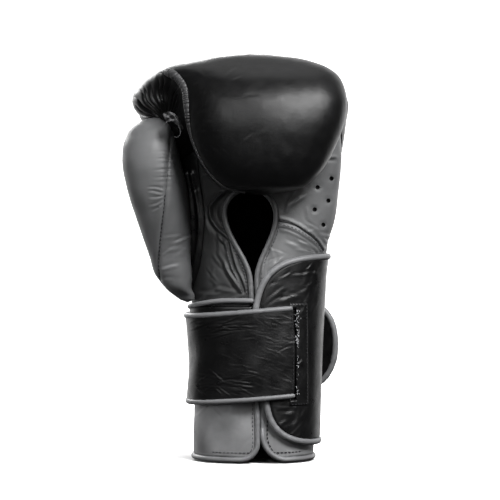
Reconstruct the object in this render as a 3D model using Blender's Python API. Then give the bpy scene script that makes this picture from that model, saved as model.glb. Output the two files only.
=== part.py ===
"""A moulded training glove with a curled knuckle pad, a padded thumb and a wrap strap.

The glove stands on its cuff. The palm faces -Y, the thumb points up at -X and +Z is up.
Every layer of the hand and cuff is measured outwards from one tube, the outer face of the
palm leather: the lining and foam lie inside it, and the wings and strap lie outside it.
"""
import math

import bmesh
import bpy
import numpy as np

MM = 0.001

# The tube: height, then its left, right, front and back faces.
TUBE = (
    (0.000, -0.0311, 0.0585, -0.0270, 0.0570),
    (0.040, -0.0305, 0.0595, -0.0268, 0.0575),
    (0.080, -0.0290, 0.0608, -0.0262, 0.0580),
    (0.115, -0.0325, 0.0625, -0.0250, 0.0560),
    (0.150, -0.0360, 0.0655, -0.0235, 0.0480),
    (0.178, -0.0385, 0.0742, -0.0225, 0.0430),
    (0.200, -0.0400, 0.0770, -0.0230, 0.0400),
    (0.225, -0.0420, 0.0790, -0.0260, 0.0360),
    (0.250, -0.0380, 0.0775, -0.0240, 0.0300),
)
TUBE_POWER = 2.4

# The pad over the back of the hand and the knuckles, and the pad curled over the fingers.
KNUCKLE_PAD = (
    (0.119, -0.0375, 0.0665, 0.0000, 0.0632),
    (0.130, -0.0400, 0.0670, 0.0000, 0.0665),
    (0.160, -0.0470, 0.0700, -0.0020, 0.0735),
    (0.190, -0.0540, 0.0745, -0.0060, 0.0780),
    (0.215, -0.0590, 0.0775, -0.0150, 0.0790),
    (0.235, -0.0625, 0.0812, -0.0300, 0.0765),
    (0.250, -0.0655, 0.0822, -0.0400, 0.0725),
    (0.268, -0.0755, 0.0829, -0.0450, 0.0630),
    (0.283, -0.0665, 0.0760, -0.0440, 0.0480),
    (0.293, -0.0480, 0.0560, -0.0360, 0.0270),
)
KNUCKLE_TOP = (0.008, -0.010, 0.2985)
BACK_FOAM_TOP = (0.0085, 0.030, 0.2140)
CURL_PAD = (
    (0.1965, 0.0080, 0.0320, -0.0570, -0.0430),
    (0.1985, -0.0050, 0.0440, -0.0640, -0.0360),
    (0.2050, -0.0200, 0.0555, -0.0715, -0.0290),
    (0.2150, -0.0280, 0.0648, -0.0765, -0.0262),
    (0.2300, -0.0345, 0.0728, -0.0788, -0.0265),
    (0.2480, -0.0372, 0.0795, -0.0790, -0.0265),
    (0.2640, -0.0378, 0.0815, -0.0755, -0.0265),
    (0.2780, -0.0385, 0.0790, -0.0680, -0.0250),
    (0.2880, -0.0340, 0.0690, -0.0560, -0.0230),
    (0.2945, -0.0220, 0.0500, -0.0480, -0.0250),
)
CURL_BOTTOM = (0.020, -0.050, 0.1954)
CURL_TOP = (0.011, -0.035, 0.2995)
THUMB_PAD = (
    (0.1225, -0.0450, -0.0350, -0.0100, 0.0020),
    (0.125, -0.0490, -0.0320, -0.0150, 0.0070),
    (0.136, -0.0580, -0.0315, -0.0200, 0.0130),
    (0.150, -0.0629, -0.0325, -0.0230, 0.0160),
    (0.178, -0.0725, -0.0325, -0.0310, 0.0175),
    (0.200, -0.0792, -0.0348, -0.0350, 0.0165),
    (0.222, -0.0827, -0.0401, -0.0362, 0.0140),
    (0.237, -0.0803, -0.0437, -0.0330, 0.0100),
    (0.248, -0.0725, -0.0459, -0.0270, 0.0030),
    (0.2515, -0.0655, -0.0495, -0.0215, -0.0030),
)
THUMB_BOTTOM = (-0.0400, -0.004, 0.1205)
THUMB_TOP = (-0.0560, -0.012, 0.2535)
PAD_POWER = 2.3

# Layers, outwards from the tube.
LINING = (-9.7 * MM, -8.6 * MM)
FOAM = (-7.4 * MM, -2.9 * MM)
LEATHER = (-1.6 * MM, 0.0)
LOOP = (0.5 * MM, 1.2 * MM)
UNDERLAY = (0.6 * MM, 1.9 * MM)
WING_FOAM = (0.9 * MM, 2.0 * MM)
WING = (2.6 * MM, 4.6 * MM)
SLOT_FRAME = (5.0 * MM, 5.7 * MM)
HOOK = (1.9 * MM, 2.7 * MM)
STRAP_OVER_WING = 6.5 * MM
STRAP_ROUND_CUFF = 3.4 * MM
STRAP_THICK = 2.4 * MM
SKIN = 2.2 * MM
GAP = 0.3 * MM

# The front opening: a round window in the palm, running into a slit down to the cuff.
WINDOW_RADIUS = 0.0186
WINDOW_HEIGHT = 0.1815
SLIT_WIDE = 0.0022
SLIT_NARROW = 0.0018
SLIT_CORNER = 0.0122
HEM_HEIGHT = 5.0 * MM
BINDING_RADIUS = 1.8 * MM
BINDING_CLEAR = BINDING_RADIUS + 0.5 * MM

SIDE_SEAM = math.radians(89.5)
CUFF_TOP = 0.1170
CUFF_SEAM = 0.0800
PALM_TOP = 0.2480
GUSSET_LOW = 0.1280
# Where the thumb gusset meets the palm leather: height, x.
GUSSET_EDGE = (
    (0.0800, -0.0295), (0.1180, -0.0330), (0.1280, -0.0310), (0.1440, -0.0262),
    (0.1630, -0.0237), (0.1780, -0.0225), (0.1920, -0.0237), (0.2070, -0.0259),
    (0.2480, -0.0290),
)
# The seam between the heel of the palm and the vented leather above it: height, x.
HEEL_SEAM = (
    (0.1540, 0.0655), (0.1620, 0.0600), (0.1687, 0.0512), (0.1745, 0.0400), (0.1765, 0.0318),
)
# The punched vents: x, height.
VENTS = (
    (0.0710, 0.2079), (0.0607, 0.2013), (0.0688, 0.1917), (0.0585, 0.1850), (0.0651, 0.1739),
)
VENT_RADIUS = 1.9 * MM

# The D-shaped wing on the right, and the slot in it that holds the strap.
WING_MIDDLE = 0.0824
WING_HALF = 0.0682
WING_TIP_X = 0.0148
WING_ROOT = math.radians(92.0)
WING_ROUND = 2.6
TURN_PER_METRE = 1 / 0.043
WING_BINDING_RADIUS = 2.0 * MM
UNDERLAY_LOW = 0.0480
UNDERLAY_HIGH = 0.1165
SLOT_LEFT, SLOT_RIGHT = 0.0403, 0.0449
SLOT_LOW, SLOT_HIGH = 0.0459, 0.1131

# The strap: a sloping band that is free from the slot, round the thumb side, to its tip.
STRAP_MIDDLE = 0.0780
STRAP_SLOPE = 0.06
STRAP_HALF = 0.0330
PIPING_RADIUS = 1.8 * MM
LEATHER_HALF = STRAP_HALF - PIPING_RADIUS - 0.4 * MM
FRONT_CORNER = math.radians(-62.0)
BACK_CORNER = math.radians(-128.0)
TIP_LEAVES = math.radians(-205.0)
TIP_RUN = 0.0420
TIP_ROUND = 0.0240
STRAP_SPLIT = 0.5 * MM

THUMB_SEAM_X = -0.0545
THUMB_SEAM_Z = 0.150
THUMB_SEAM_LEAN = math.radians(6.0)
THUMB_SEAM_HALF_GAP = 0.2 * MM
TUNNEL_HEIGHT = 0.163
TUNNEL_RADIUS = 9.0 * MM
# The stall for the wearer's thumb leans outwards as it rises: height, share of its radius.
STALL_X = -0.055
STALL_Y = -0.008
STALL_LEAN = 0.10
STALL_RADIUS = 9.0 * MM
STALL_STATIONS = ((0.156, 0.7), (0.160, 1.0), (0.190, 1.0), (0.208, 0.95), (0.216, 0.7))
STALL_BOTTOM = (-0.0548, -0.008, 0.1545)
STALL_TOP = (-0.0603, -0.008, 0.2195)

BLACK = (0.012, 0.012, 0.013, 1.0)
GREY = (0.110, 0.110, 0.112, 1.0)
PIPING = (0.130, 0.130, 0.132, 1.0)
LINING_GREY = (0.020, 0.020, 0.021, 1.0)
FOAM_CREAM = (0.62, 0.58, 0.50, 1.0)


# ---------------------------------------------------------------- shape helpers

def smooth(rows, height):
    """Read a table of stations at a height, on a smooth curve through them."""
    rows = np.array(rows)
    heights = rows[:, 0]
    values = rows[:, 1:]
    slopes = np.gradient(values, heights, axis=0)
    height = min(max(height, heights[0]), heights[-1])
    i = min(max(int(np.searchsorted(heights, height)) - 1, 0), len(heights) - 2)
    step = heights[i + 1] - heights[i]
    t = (height - heights[i]) / step
    rise = values[i + 1] - values[i]
    blend = t * t * (3 - 2 * t)
    ease_in = step * slopes[i] * t * (1 - t) ** 2
    ease_out = step * slopes[i + 1] * t * t * (t - 1)
    return values[i] + rise * blend + ease_in + ease_out


def halves(section):
    """Centre and half sizes of a section given by its four faces."""
    left, right, front, back = section
    return (left + right) / 2, (front + back) / 2, (right - left) / 2, (back - front) / 2


def oval(section, turn, out=0.0, power=TUBE_POWER):
    """A point of a rounded section. A turn of 0 faces the front and a right angle the right."""
    cx, cy, a, b = halves(section)
    s, c = math.sin(turn), -math.cos(turn)
    reach = (abs(s / a) ** power + abs(c / b) ** power) ** (-1 / power)
    x, y = reach * s, reach * c
    nx = math.copysign(abs(x / a) ** (power - 1) / a, x)
    ny = math.copysign(abs(y / b) ** (power - 1) / b, y)
    push = out / math.hypot(nx, ny)
    return cx + x + push * nx, cy + y + push * ny


def tube_point(height, turn, out):
    """A point at a height, a turn and a distance out from the tube."""
    x, y = oval(smooth(TUBE, height), turn, out)
    return x, y, height


def front_turn(height, x):
    """The turn at which the front of the tube reaches x."""
    cx, cy, a, b = halves(smooth(TUBE, height))
    across = min(max((x - cx) / a, -0.992), 0.992)
    deep = b * (1 - abs(across) ** TUBE_POWER) ** (1 / TUBE_POWER)
    return math.atan2(across * a, deep)


def slit_middle(height):
    """The opening's middle line leans to the right on its way down."""
    return 0.0109 + 0.0074 * min(max((0.190 - height) / 0.150, 0.0), 1.0)


def slit_half(height):
    """Half the width between the bindings of the opening."""
    if height > WINDOW_HEIGHT:
        over = (height - WINDOW_HEIGHT) / WINDOW_RADIUS
        return WINDOW_RADIUS * math.sqrt(max(1 - over * over, 0.0))
    down = (WINDOW_HEIGHT - height) / 0.050
    if down < 1:
        return SLIT_WIDE + (WINDOW_RADIUS - SLIT_WIDE) * 0.5 * (1 + math.cos(math.pi * down))
    half = SLIT_NARROW + (SLIT_WIDE - SLIT_NARROW) * min(height / 0.130, 1.0)
    corner = min(max((0.0145 - height) / 0.0120, 0.0), 1.0)
    return half + SLIT_CORNER * (1 - math.sqrt(1 - corner * corner))


def wing_turn(height, inset=0.0):
    """The turn of the right wing's D-shaped edge, or of a line inside it."""
    off = min(abs((height - WING_MIDDLE) / (WING_HALF - inset)), 1.0)
    reach = WING_ROOT - front_turn(WING_MIDDLE, WING_TIP_X) - inset * TURN_PER_METRE
    return WING_ROOT - reach * (1 - off ** WING_ROUND) ** (1 / WING_ROUND)


# ---------------------------------------------------------------- mesh helpers

def leather(name, colour, roughness):
    """A finish of one colour."""
    material = bpy.data.materials.new(name)
    material.use_nodes = True
    shader = material.node_tree.nodes["Principled BSDF"]
    shader.inputs["Base Color"].default_value = colour
    shader.inputs["Roughness"].default_value = roughness
    return material


def add_mesh(name, points, faces, colour, roughness=0.45):
    """A closed object with its faces turned outwards."""
    mesh = bpy.data.meshes.new(name)
    mesh.from_pydata([tuple(p) for p in points], [], faces)
    shape = bmesh.new()
    shape.from_mesh(mesh)
    bmesh.ops.triangulate(shape, faces=shape.faces[:])
    bmesh.ops.recalc_face_normals(shape, faces=shape.faces[:])
    shape.to_mesh(mesh)
    shape.free()
    mesh.shade_smooth()
    mesh.set_sharp_from_angle(angle=math.radians(50))
    piece = bpy.data.objects.new(name, mesh)
    bpy.context.scene.collection.objects.link(piece)
    mesh.materials.append(leather(name + "_finish", colour, roughness))
    return piece


def rings_mesh(name, rings, first, last, colour):
    """A closed skin over a run of rings, drawn to a point at each end."""
    rings = np.array(rings)
    count, around = rings.shape[:2]
    points = [tuple(p) for ring in rings for p in ring] + [tuple(first), tuple(last)]
    faces = []
    for i in range(count - 1):
        for j in range(around):
            k = (j + 1) % around
            faces.append((i * around + j, i * around + k, (i + 1) * around + k, (i + 1) * around + j))
    for j in range(around):
        k = (j + 1) % around
        faces.append((count * around, k, j))
        faces.append((count * around + 1, (count - 1) * around + j, (count - 1) * around + k))
    return add_mesh(name, points, faces, colour)


def sheet_mesh(name, inner, outer, colour):
    """A closed sheet between two grids of points."""
    inner, outer = np.array(inner), np.array(outer)
    rows, columns = inner.shape[:2]
    far = rows * columns
    points = [tuple(p) for grid in (inner, outer) for row in grid for p in row]
    faces = []
    for i in range(rows - 1):
        for j in range(columns - 1):
            quad = [i * columns + j, i * columns + j + 1, (i + 1) * columns + j + 1, (i + 1) * columns + j]
            faces.append(tuple(quad))
            faces.append(tuple(far + v for v in reversed(quad)))
    rim = [j for j in range(columns - 1)]
    rim += [i * columns + columns - 1 for i in range(rows - 1)]
    rim += [(rows - 1) * columns + j for j in range(columns - 1, 0, -1)]
    rim += [i * columns for i in range(rows - 1, 0, -1)]
    for a, b in zip(rim, rim[1:] + rim[:1]):
        faces.append((b, a, far + a, far + b))
    return add_mesh(name, points, faces, colour)


def cord(name, points, radius, colour):
    """A round cord along a line of points."""
    curve = bpy.data.curves.new(name, "CURVE")
    curve.dimensions = "3D"
    curve.bevel_depth = radius
    curve.bevel_resolution = 1
    curve.use_fill_caps = True
    spline = curve.splines.new("POLY")
    spline.points.add(len(points) - 1)
    for spot, place in zip(spline.points, points):
        spot.co = (*place, 1.0)
    piece = bpy.data.objects.new(name, curve)
    bpy.context.scene.collection.objects.link(piece)
    curve.materials.append(leather(name + "_finish", colour, 0.4))
    return piece


def as_cutter(piece):
    """Mark an object as a tool that only shapes others."""
    piece.hide_render = True
    piece.display_type = "WIRE"
    return piece


def cut(piece, *cutters):
    """Take cutters away from a piece."""
    for cutter in cutters:
        trim = piece.modifiers.new("cut " + cutter.name, "BOOLEAN")
        trim.operation = "DIFFERENCE"
        trim.solver = "EXACT"
        trim.object = cutter


def box(name, low, high, lean=0.0, pivot=(0.0, 0.0, 0.0)):
    """A box between two corners, leaning about an axis along Y through its pivot."""
    corners = []
    for x in (low[0], high[0]):
        for y in (low[1], high[1]):
            for z in (low[2], high[2]):
                dx, dz = x - pivot[0], z - pivot[2]
                corners.append((
                    pivot[0] + dx * math.cos(lean) + dz * math.sin(lean),
                    y,
                    pivot[2] - dx * math.sin(lean) + dz * math.cos(lean),
                ))
    faces = [(0, 1, 3, 2), (4, 6, 7, 5), (0, 4, 5, 1), (2, 3, 7, 6), (0, 2, 6, 4), (1, 5, 7, 3)]
    return add_mesh(name, corners, faces, BLACK)


def panel(name, heights, left, right, layer, columns, colour):
    """A sheet on the tube between two edges, each a turn that depends on height."""
    grids = []
    for out in layer:
        grid = []
        for height in heights:
            turns = np.linspace(left(height), right(height), columns)
            grid.append([tube_point(height, turn, out) for turn in turns])
        grids.append(grid)
    return sheet_mesh(name, grids[0], grids[1], colour)


def grown(rings, out):
    """Move rings outwards along the surface that they describe."""
    along = np.gradient(rings, axis=0)
    around = (np.roll(rings, -1, axis=1) - np.roll(rings, 1, axis=1)) / 2
    normal = np.cross(around, along)
    normal /= np.linalg.norm(normal, axis=2, keepdims=True)
    return rings + out * normal


def pad(name, stations, heights, bottom, top, out, colour, drop=0.0, around=24):
    """A round padded form through its stations. A drop carries its lowest ring further down."""
    rings = []
    for height in heights:
        section = smooth(stations, height)
        turns = np.linspace(0, 2 * math.pi, around, endpoint=False)
        rings.append([(*oval(section, turn, 0.0, PAD_POWER), height) for turn in turns])
    rings = grown(np.array(rings), out)
    if bottom is None:
        rings[0, :, 2] -= drop
        bottom = rings[0].mean(axis=0)
    else:
        bottom = np.array(bottom) - (0, 0, out)
    return rings_mesh(name, rings, bottom, np.array(top) + (0, 0, out), colour)


# ---------------------------------------------------------------- cutters

def tube_cutter(name, out, top, back=None):
    """The tube as a solid, grown by a distance and closed at a height."""
    turns = np.linspace(0, 2 * math.pi, 36, endpoint=False)
    rings = []
    for height in (-0.010, 0.040, 0.080, 0.115, 0.140, 0.165, 0.190, 0.210, 0.225, 0.238, top):
        ring = [tube_point(max(height, 0.0), turn, out) for turn in turns]
        if back is not None:
            ring = [(x, min(y, back), z) for x, y, z in ring]
        rings.append([(x, y, height) for x, y, z in ring])
    ends = [np.mean(rings[0], axis=0), np.mean(rings[-1], axis=0)]
    return as_cutter(rings_mesh(name, rings, ends[0], ends[1], GREY))


def slit_cutter(name, clear, low):
    """A prism through the palm side with the outline of the opening."""
    top = WINDOW_HEIGHT + WINDOW_RADIUS + clear
    heights = [low, 0.060, 0.100, 0.130]
    heights += [0.138, 0.146, 0.154, 0.162, 0.170, 0.178, 0.186, 0.192, 0.196]
    heights = [h for h in heights if h >= low]
    outline = [(slit_middle(h) - slit_half(h) - clear, h) for h in heights]
    outline += [(slit_middle(top) - 0.0070, top - 0.0015), (slit_middle(top) + 0.0070, top - 0.0015)]
    outline += [(slit_middle(h) + slit_half(h) + clear, h) for h in reversed(heights)]
    count = len(outline)
    points = [(x, y, z) for y in (-0.060, 0.004) for x, z in outline]
    faces = [tuple(range(count)), tuple(range(2 * count - 1, count - 1, -1))]
    for i in range(count):
        k = (i + 1) % count
        faces.append((i, k, count + k, count + i))
    return as_cutter(add_mesh(name, points, faces, GREY))


def rod(name, start, end, radius, sides=12):
    """A round rod between two points that lie along X or Y."""
    start, end = np.array(start), np.array(end)
    along = (end - start) / np.linalg.norm(end - start)
    side = np.cross(along, (0, 0, 1))
    up = np.cross(side, along)
    turns = np.linspace(0, 2 * math.pi, sides, endpoint=False)
    rings = [[p + radius * (math.cos(t) * side + math.sin(t) * up) for t in turns] for p in (start, end)]
    return rings_mesh(name, rings, start, end, GREY)


# ---------------------------------------------------------------- hand and cuff

def build_lining(slit, tunnel):
    """A cloth bag for the hand, open at the cuff and at the palm window."""
    turns = np.linspace(0, 2 * math.pi, 24, endpoint=False)
    heights = (0.004, 0.040, 0.080, CUFF_TOP, 0.148, 0.178, 0.208, 0.2365)
    rings = [[tube_point(h, t, LINING[0]) for t in turns] for h in reversed(heights)]
    rings += [[tube_point(h, t, LINING[1]) for t in turns] for h in heights]
    top = np.mean(rings[-1], axis=0)
    lining = rings_mesh("hand_lining", rings, top + (0, 0, 2.4 * MM), top + (0, 0, 4.0 * MM), LINING_GREY)
    cut(lining, slit, tunnel)


def build_foam(slit, tunnel):
    """Foam round the wrist, in the palm, over the back of the hand and in the knuckles."""
    panel(
        "wrist_foam", (0.0060, 0.040, 0.080, CUFF_TOP),
        lambda h: front_turn(h, slit_middle(h) + slit_half(h)),
        lambda h: 2 * math.pi + front_turn(h, slit_middle(h) - slit_half(h)),
        FOAM, 27, FOAM_CREAM,
    )
    palm = panel(
        "palm_foam", (0.1176, 0.138, 0.158, 0.178, 0.198, 0.218, 0.2395),
        lambda h: -0.95 * SIDE_SEAM, lambda h: 0.95 * SIDE_SEAM, FOAM, 15, FOAM_CREAM,
    )
    cut(palm, slit, tunnel)
    palm_clear = tube_cutter("palm_clearance", 1.0 * MM, 0.2510, back=0.017)
    hand_clear = tube_cutter("hand_clearance", FOAM[0] + GAP, 0.2445)
    heights = (0.1205, 0.135, 0.155, 0.175, 0.195, 0.2120)
    back = pad("back_of_hand_foam", KNUCKLE_PAD, heights, None, BACK_FOAM_TOP, -SKIN - GAP, FOAM_CREAM)
    cut(back, palm_clear, hand_clear)
    heights = (0.2180, 0.230, 0.243, 0.256, 0.268, 0.279, 0.287, 0.293)
    knuckle = pad("knuckle_foam", KNUCKLE_PAD, heights, None, KNUCKLE_TOP, -SKIN - GAP, FOAM_CREAM)
    cut(knuckle, palm_clear, hand_clear)
    return palm_clear, hand_clear


def build_shells(palm_clear, hand_clear):
    """The leather over the knuckle pad, and the leather and foam of the curled pad."""
    heights = (0.1190, 0.135, 0.155, 0.175, 0.195, 0.2120, 0.2180, 0.230, 0.243, 0.256, 0.268, 0.279)
    heights += (0.287, 0.293)
    shell = pad("knuckle_shell", KNUCKLE_PAD, heights, None, KNUCKLE_TOP, 0.0, BLACK)
    hollow = pad("knuckle_hollow", KNUCKLE_PAD, heights, None, KNUCKLE_TOP, -SKIN, BLACK, drop=0.01)
    cut(shell, as_cutter(hollow), palm_clear, hand_clear)
    knuckle_clear = pad("knuckle_clearance", KNUCKLE_PAD, heights, None, KNUCKLE_TOP, 0.5 * MM, BLACK)
    as_cutter(knuckle_clear)
    heights = (0.1965, 0.1995, 0.204, 0.211, 0.222, 0.235, 0.249, 0.262, 0.274, 0.284, 0.2905)
    curl = pad("curl_shell", CURL_PAD, heights, CURL_BOTTOM, CURL_TOP, 0.0, BLACK, around=22)
    inside = pad("curl_hollow", CURL_PAD, heights, CURL_BOTTOM, CURL_TOP, -SKIN, BLACK, around=22)
    cut(curl, as_cutter(inside), knuckle_clear)
    filling = pad("curl_foam", CURL_PAD, heights, CURL_BOTTOM, CURL_TOP, -SKIN - GAP, FOAM_CREAM, around=22)
    cut(filling, knuckle_clear)
    return knuckle_clear


def build_palm(tunnel):
    """The leather pieces of the palm, either side of the opening."""
    heights = (CUFF_SEAM + GAP, 0.104, GUSSET_LOW, 0.145, 0.155, 0.163, 0.172, 0.180, 0.188, 0.194, 0.199)
    heights += (0.2022, 0.204, 0.226, PALM_TOP)

    def gusset_turn(height):
        return front_turn(height, smooth(GUSSET_EDGE, height)[0])

    def opening(height, side):
        """The edge of the leather beside the binding, or the middle line above the window."""
        reach = WINDOW_RADIUS + BINDING_CLEAR
        lift = max(height - WINDOW_HEIGHT, 0.0) / reach
        half = slit_half(height) + BINDING_CLEAR
        if lift > 0:
            half = reach * math.sqrt(max(1 - lift * lift, 0.0)) + GAP
        return front_turn(height, slit_middle(height) + side * half)

    panel("palm_panel_thumb_side", heights, gusset_turn, lambda h: opening(h, -1), LEATHER, 7, GREY)
    gusset = panel(
        "thumb_gusset", [height for height in heights if height >= GUSSET_LOW],
        lambda h: -SIDE_SEAM, lambda h: gusset_turn(h) - 0.014, LEATHER, 5, BLACK,
    )
    cut(gusset, tunnel)

    def seam_turn(height):
        return front_turn(height, smooth(HEEL_SEAM, height)[0])

    low = (CUFF_SEAM + GAP, 0.104, 0.128, 0.145, 0.1528, 0.1545, 0.158, 0.162, 0.167, 0.171, 0.1745)
    panel(
        "palm_panel_heel", low, lambda h: opening(h, 1),
        lambda h: SIDE_SEAM if h < 0.153 else seam_turn(h) - 0.022, LEATHER, 9, GREY,
    )
    high = (0.1545, 0.158, 0.162, 0.167, 0.171, 0.1745, 0.1762, 0.182, 0.187, 0.194, 0.199)
    high += (0.2022, 0.204, 0.225, PALM_TOP)
    vented = panel(
        "palm_panel_vented", high,
        lambda h: seam_turn(h) if h < 0.1765 else opening(h, 1),
        lambda h: SIDE_SEAM, LEATHER, 9, GREY,
    )
    for i, (x, height) in enumerate(VENTS):
        vent = rod(f"vent_cutter_{i + 1}", (x, -0.035, height), (x, 0.005, height), VENT_RADIUS, 8)
        cut(vented, as_cutter(vent))


def build_cuff():
    """The leather of the cuff, its hem, and the loop pile on its back."""
    low = (HEM_HEIGHT + 0.5 * MM, 0.008, 0.011, 0.0145, 0.030, 0.055, CUFF_SEAM)
    panel(
        "cuff_panel_left", low, lambda h: -SIDE_SEAM,
        lambda h: front_turn(h, slit_middle(h) - slit_half(h) - BINDING_CLEAR), LEATHER, 9, GREY,
    )
    panel(
        "cuff_panel_right", low,
        lambda h: front_turn(h, slit_middle(h) + slit_half(h) + BINDING_CLEAR),
        lambda h: SIDE_SEAM, LEATHER, 9, GREY,
    )
    panel(
        "cuff_panel_back", (HEM_HEIGHT + 0.5 * MM, 0.040, 0.080, CUFF_TOP),
        lambda h: math.pi / 2 + 0.005, lambda h: 1.5 * math.pi - 0.005, LEATHER, 17, BLACK,
    )
    panel(
        "cuff_hem_binding", (0.0, HEM_HEIGHT),
        lambda h: front_turn(0.0, 0.0345), lambda h: 2 * math.pi + front_turn(0.0, 0.0022),
        (-2.2 * MM, 2.4 * MM), 32, PIPING,
    )
    panel(
        "loop_patch", (0.052, 0.080, 0.108),
        lambda h: math.radians(148), lambda h: math.radians(214), LOOP, 9, BLACK,
    )


def build_bindings():
    """The rounded bindings that edge the opening, above and below the closure."""
    def edge(side, height, out=0.6 * MM):
        x = slit_middle(height) + side * slit_half(height)
        return tube_point(height, front_turn(height, x), out)

    rise = [0.1215, 0.129, 0.137, 0.144, 0.150, 0.156, 0.163, 0.170, 0.176]
    arc = [math.radians(angle) for angle in range(-10, 91, 20)]
    rise += [WINDOW_HEIGHT + WINDOW_RADIUS * math.sin(angle) for angle in arc]
    left = [edge(-1, height) for height in rise]
    right = [edge(1, height) for height in rise[:-1]]
    cord("opening_binding", left + right[::-1], BINDING_RADIUS, PIPING)
    fall = (0.0380, 0.026, 0.0150, 0.0110, 0.0080, 0.0057, 0.0040, 0.0030)
    for name, side in (("slit_binding_left", -1), ("slit_binding_right", 1)):
        cord(name, [edge(side, height) for height in fall], 1.5 * MM, PIPING)


def build_inside():
    """The bar that the fingers grip, and the tab that ties the thumb to the pad."""
    bar = rod("grip_bar", (-0.008, -0.0045, 0.2120), (0.044, -0.0045, 0.2120), 6.0 * MM, 12)
    bar.data.materials.clear()
    bar.data.materials.append(leather("grip_bar_finish", FOAM_CREAM, 0.8))
    low, high = (-0.0475, -0.0455, 0.2462), (-0.0390, -0.0415, 0.2524)
    box("thumb_lock_tab", low, high)


# ---------------------------------------------------------------- closure

def build_right_wing():
    """The padded wing that closes over the slit, with the slot that the strap comes out of."""
    slot = box("slot_cutter", (SLOT_LEFT, -0.060, SLOT_LOW), (SLOT_RIGHT, -0.005, SLOT_HIGH))
    as_cutter(slot)

    def rows(inset, count, share=1.0):
        reach = (WING_HALF - inset) * share
        return [WING_MIDDLE - reach * math.cos(math.pi * i / (count - 1)) for i in range(count)]

    clear = WING_BINDING_RADIUS + 0.5 * MM
    cover = panel(
        "wing_cover", rows(clear, 13, 0.985), lambda h: wing_turn(h, clear),
        lambda h: WING_ROOT, WING, 10, BLACK,
    )
    cut(cover, slot)
    inset = 0.0090
    panel(
        "wing_foam", rows(inset, 9, 0.93), lambda h: wing_turn(h, inset),
        lambda h: WING_ROOT - 0.03, WING_FOAM, 8, FOAM_CREAM,
    )
    line = [tube_point(h, wing_turn(h), 3.4 * MM) for h in rows(0.0, 27)]
    cord("wing_binding", line, WING_BINDING_RADIUS, PIPING)
    frame = panel(
        "strap_slot_frame", (0.0420, 0.067, 0.092, 0.1170),
        lambda h: front_turn(h, 0.0365), lambda h: front_turn(h, 0.0487), SLOT_FRAME, 5, BLACK,
    )
    cut(frame, slot)
    low = (SLOT_LEFT + 0.5 * MM, -0.0258, SLOT_LOW + 2.0 * MM)
    high = (SLOT_RIGHT - 0.5 * MM, -0.0243, SLOT_HIGH - 2.0 * MM)
    box("strap_anchor", low, high)


def build_left_wing():
    """The thin wing under the strap, whose piped top edge shows above it."""
    heights = (UNDERLAY_LOW, 0.065, 0.082, 0.100, UNDERLAY_HIGH - 2.4 * MM)
    shy = WING_BINDING_RADIUS + 0.9 * MM
    panel(
        "underlay_wing", heights, lambda h: -0.96 * SIDE_SEAM,
        lambda h: wing_turn(h) - shy * TURN_PER_METRE, UNDERLAY, 9, BLACK,
    )
    turns = np.linspace(-0.80 * SIDE_SEAM, wing_turn(UNDERLAY_HIGH) - 4.2 * MM * TURN_PER_METRE, 9)
    line = [tube_point(UNDERLAY_HIGH, turn, 2.2 * MM) for turn in turns]
    cord("underlay_binding", line, 1.7 * MM, PIPING)


def strap_out(turn):
    """How far the strap's inner face lies out from the tube: furthest where it crosses the wing."""
    over = front_turn(STRAP_MIDDLE, 0.016)
    down = front_turn(STRAP_MIDDLE, -0.006)
    share = min(max((turn - down) / (over - down), 0.0), 1.0)
    return STRAP_ROUND_CUFF + (STRAP_OVER_WING - STRAP_ROUND_CUFF) * share * share * (3 - 2 * share)


def strap_point(turn, across, out):
    """A point of the strap, across its width from its middle and out from its inner face."""
    x = oval(smooth(TUBE, STRAP_MIDDLE), turn, strap_out(turn))[0]
    height = STRAP_MIDDLE + STRAP_SLOPE * x + across
    return np.array(tube_point(height, turn, strap_out(turn) + out))


def strap_spot(turn, run, across, out):
    """A point of the strap, or of its tip, which runs straight on from where it leaves the cuff."""
    place = strap_point(turn, across, out)
    if run:
        step = strap_point(turn - 0.02, 0.0, 0.0) - strap_point(turn + 0.02, 0.0, 0.0)
        place = place + run * step / np.linalg.norm(step[:2])
    return place


def strap_piece(name, spots, halves_here):
    """The leather of one length of strap."""
    grids = []
    for out in (0.0, STRAP_THICK):
        grids.append([
            [strap_spot(turn, run, across, out) for across in np.linspace(-half, half, 4)]
            for (turn, run), half in zip(spots, halves_here)
        ])
    return sheet_mesh(name, grids[0], grids[1], BLACK)


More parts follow.
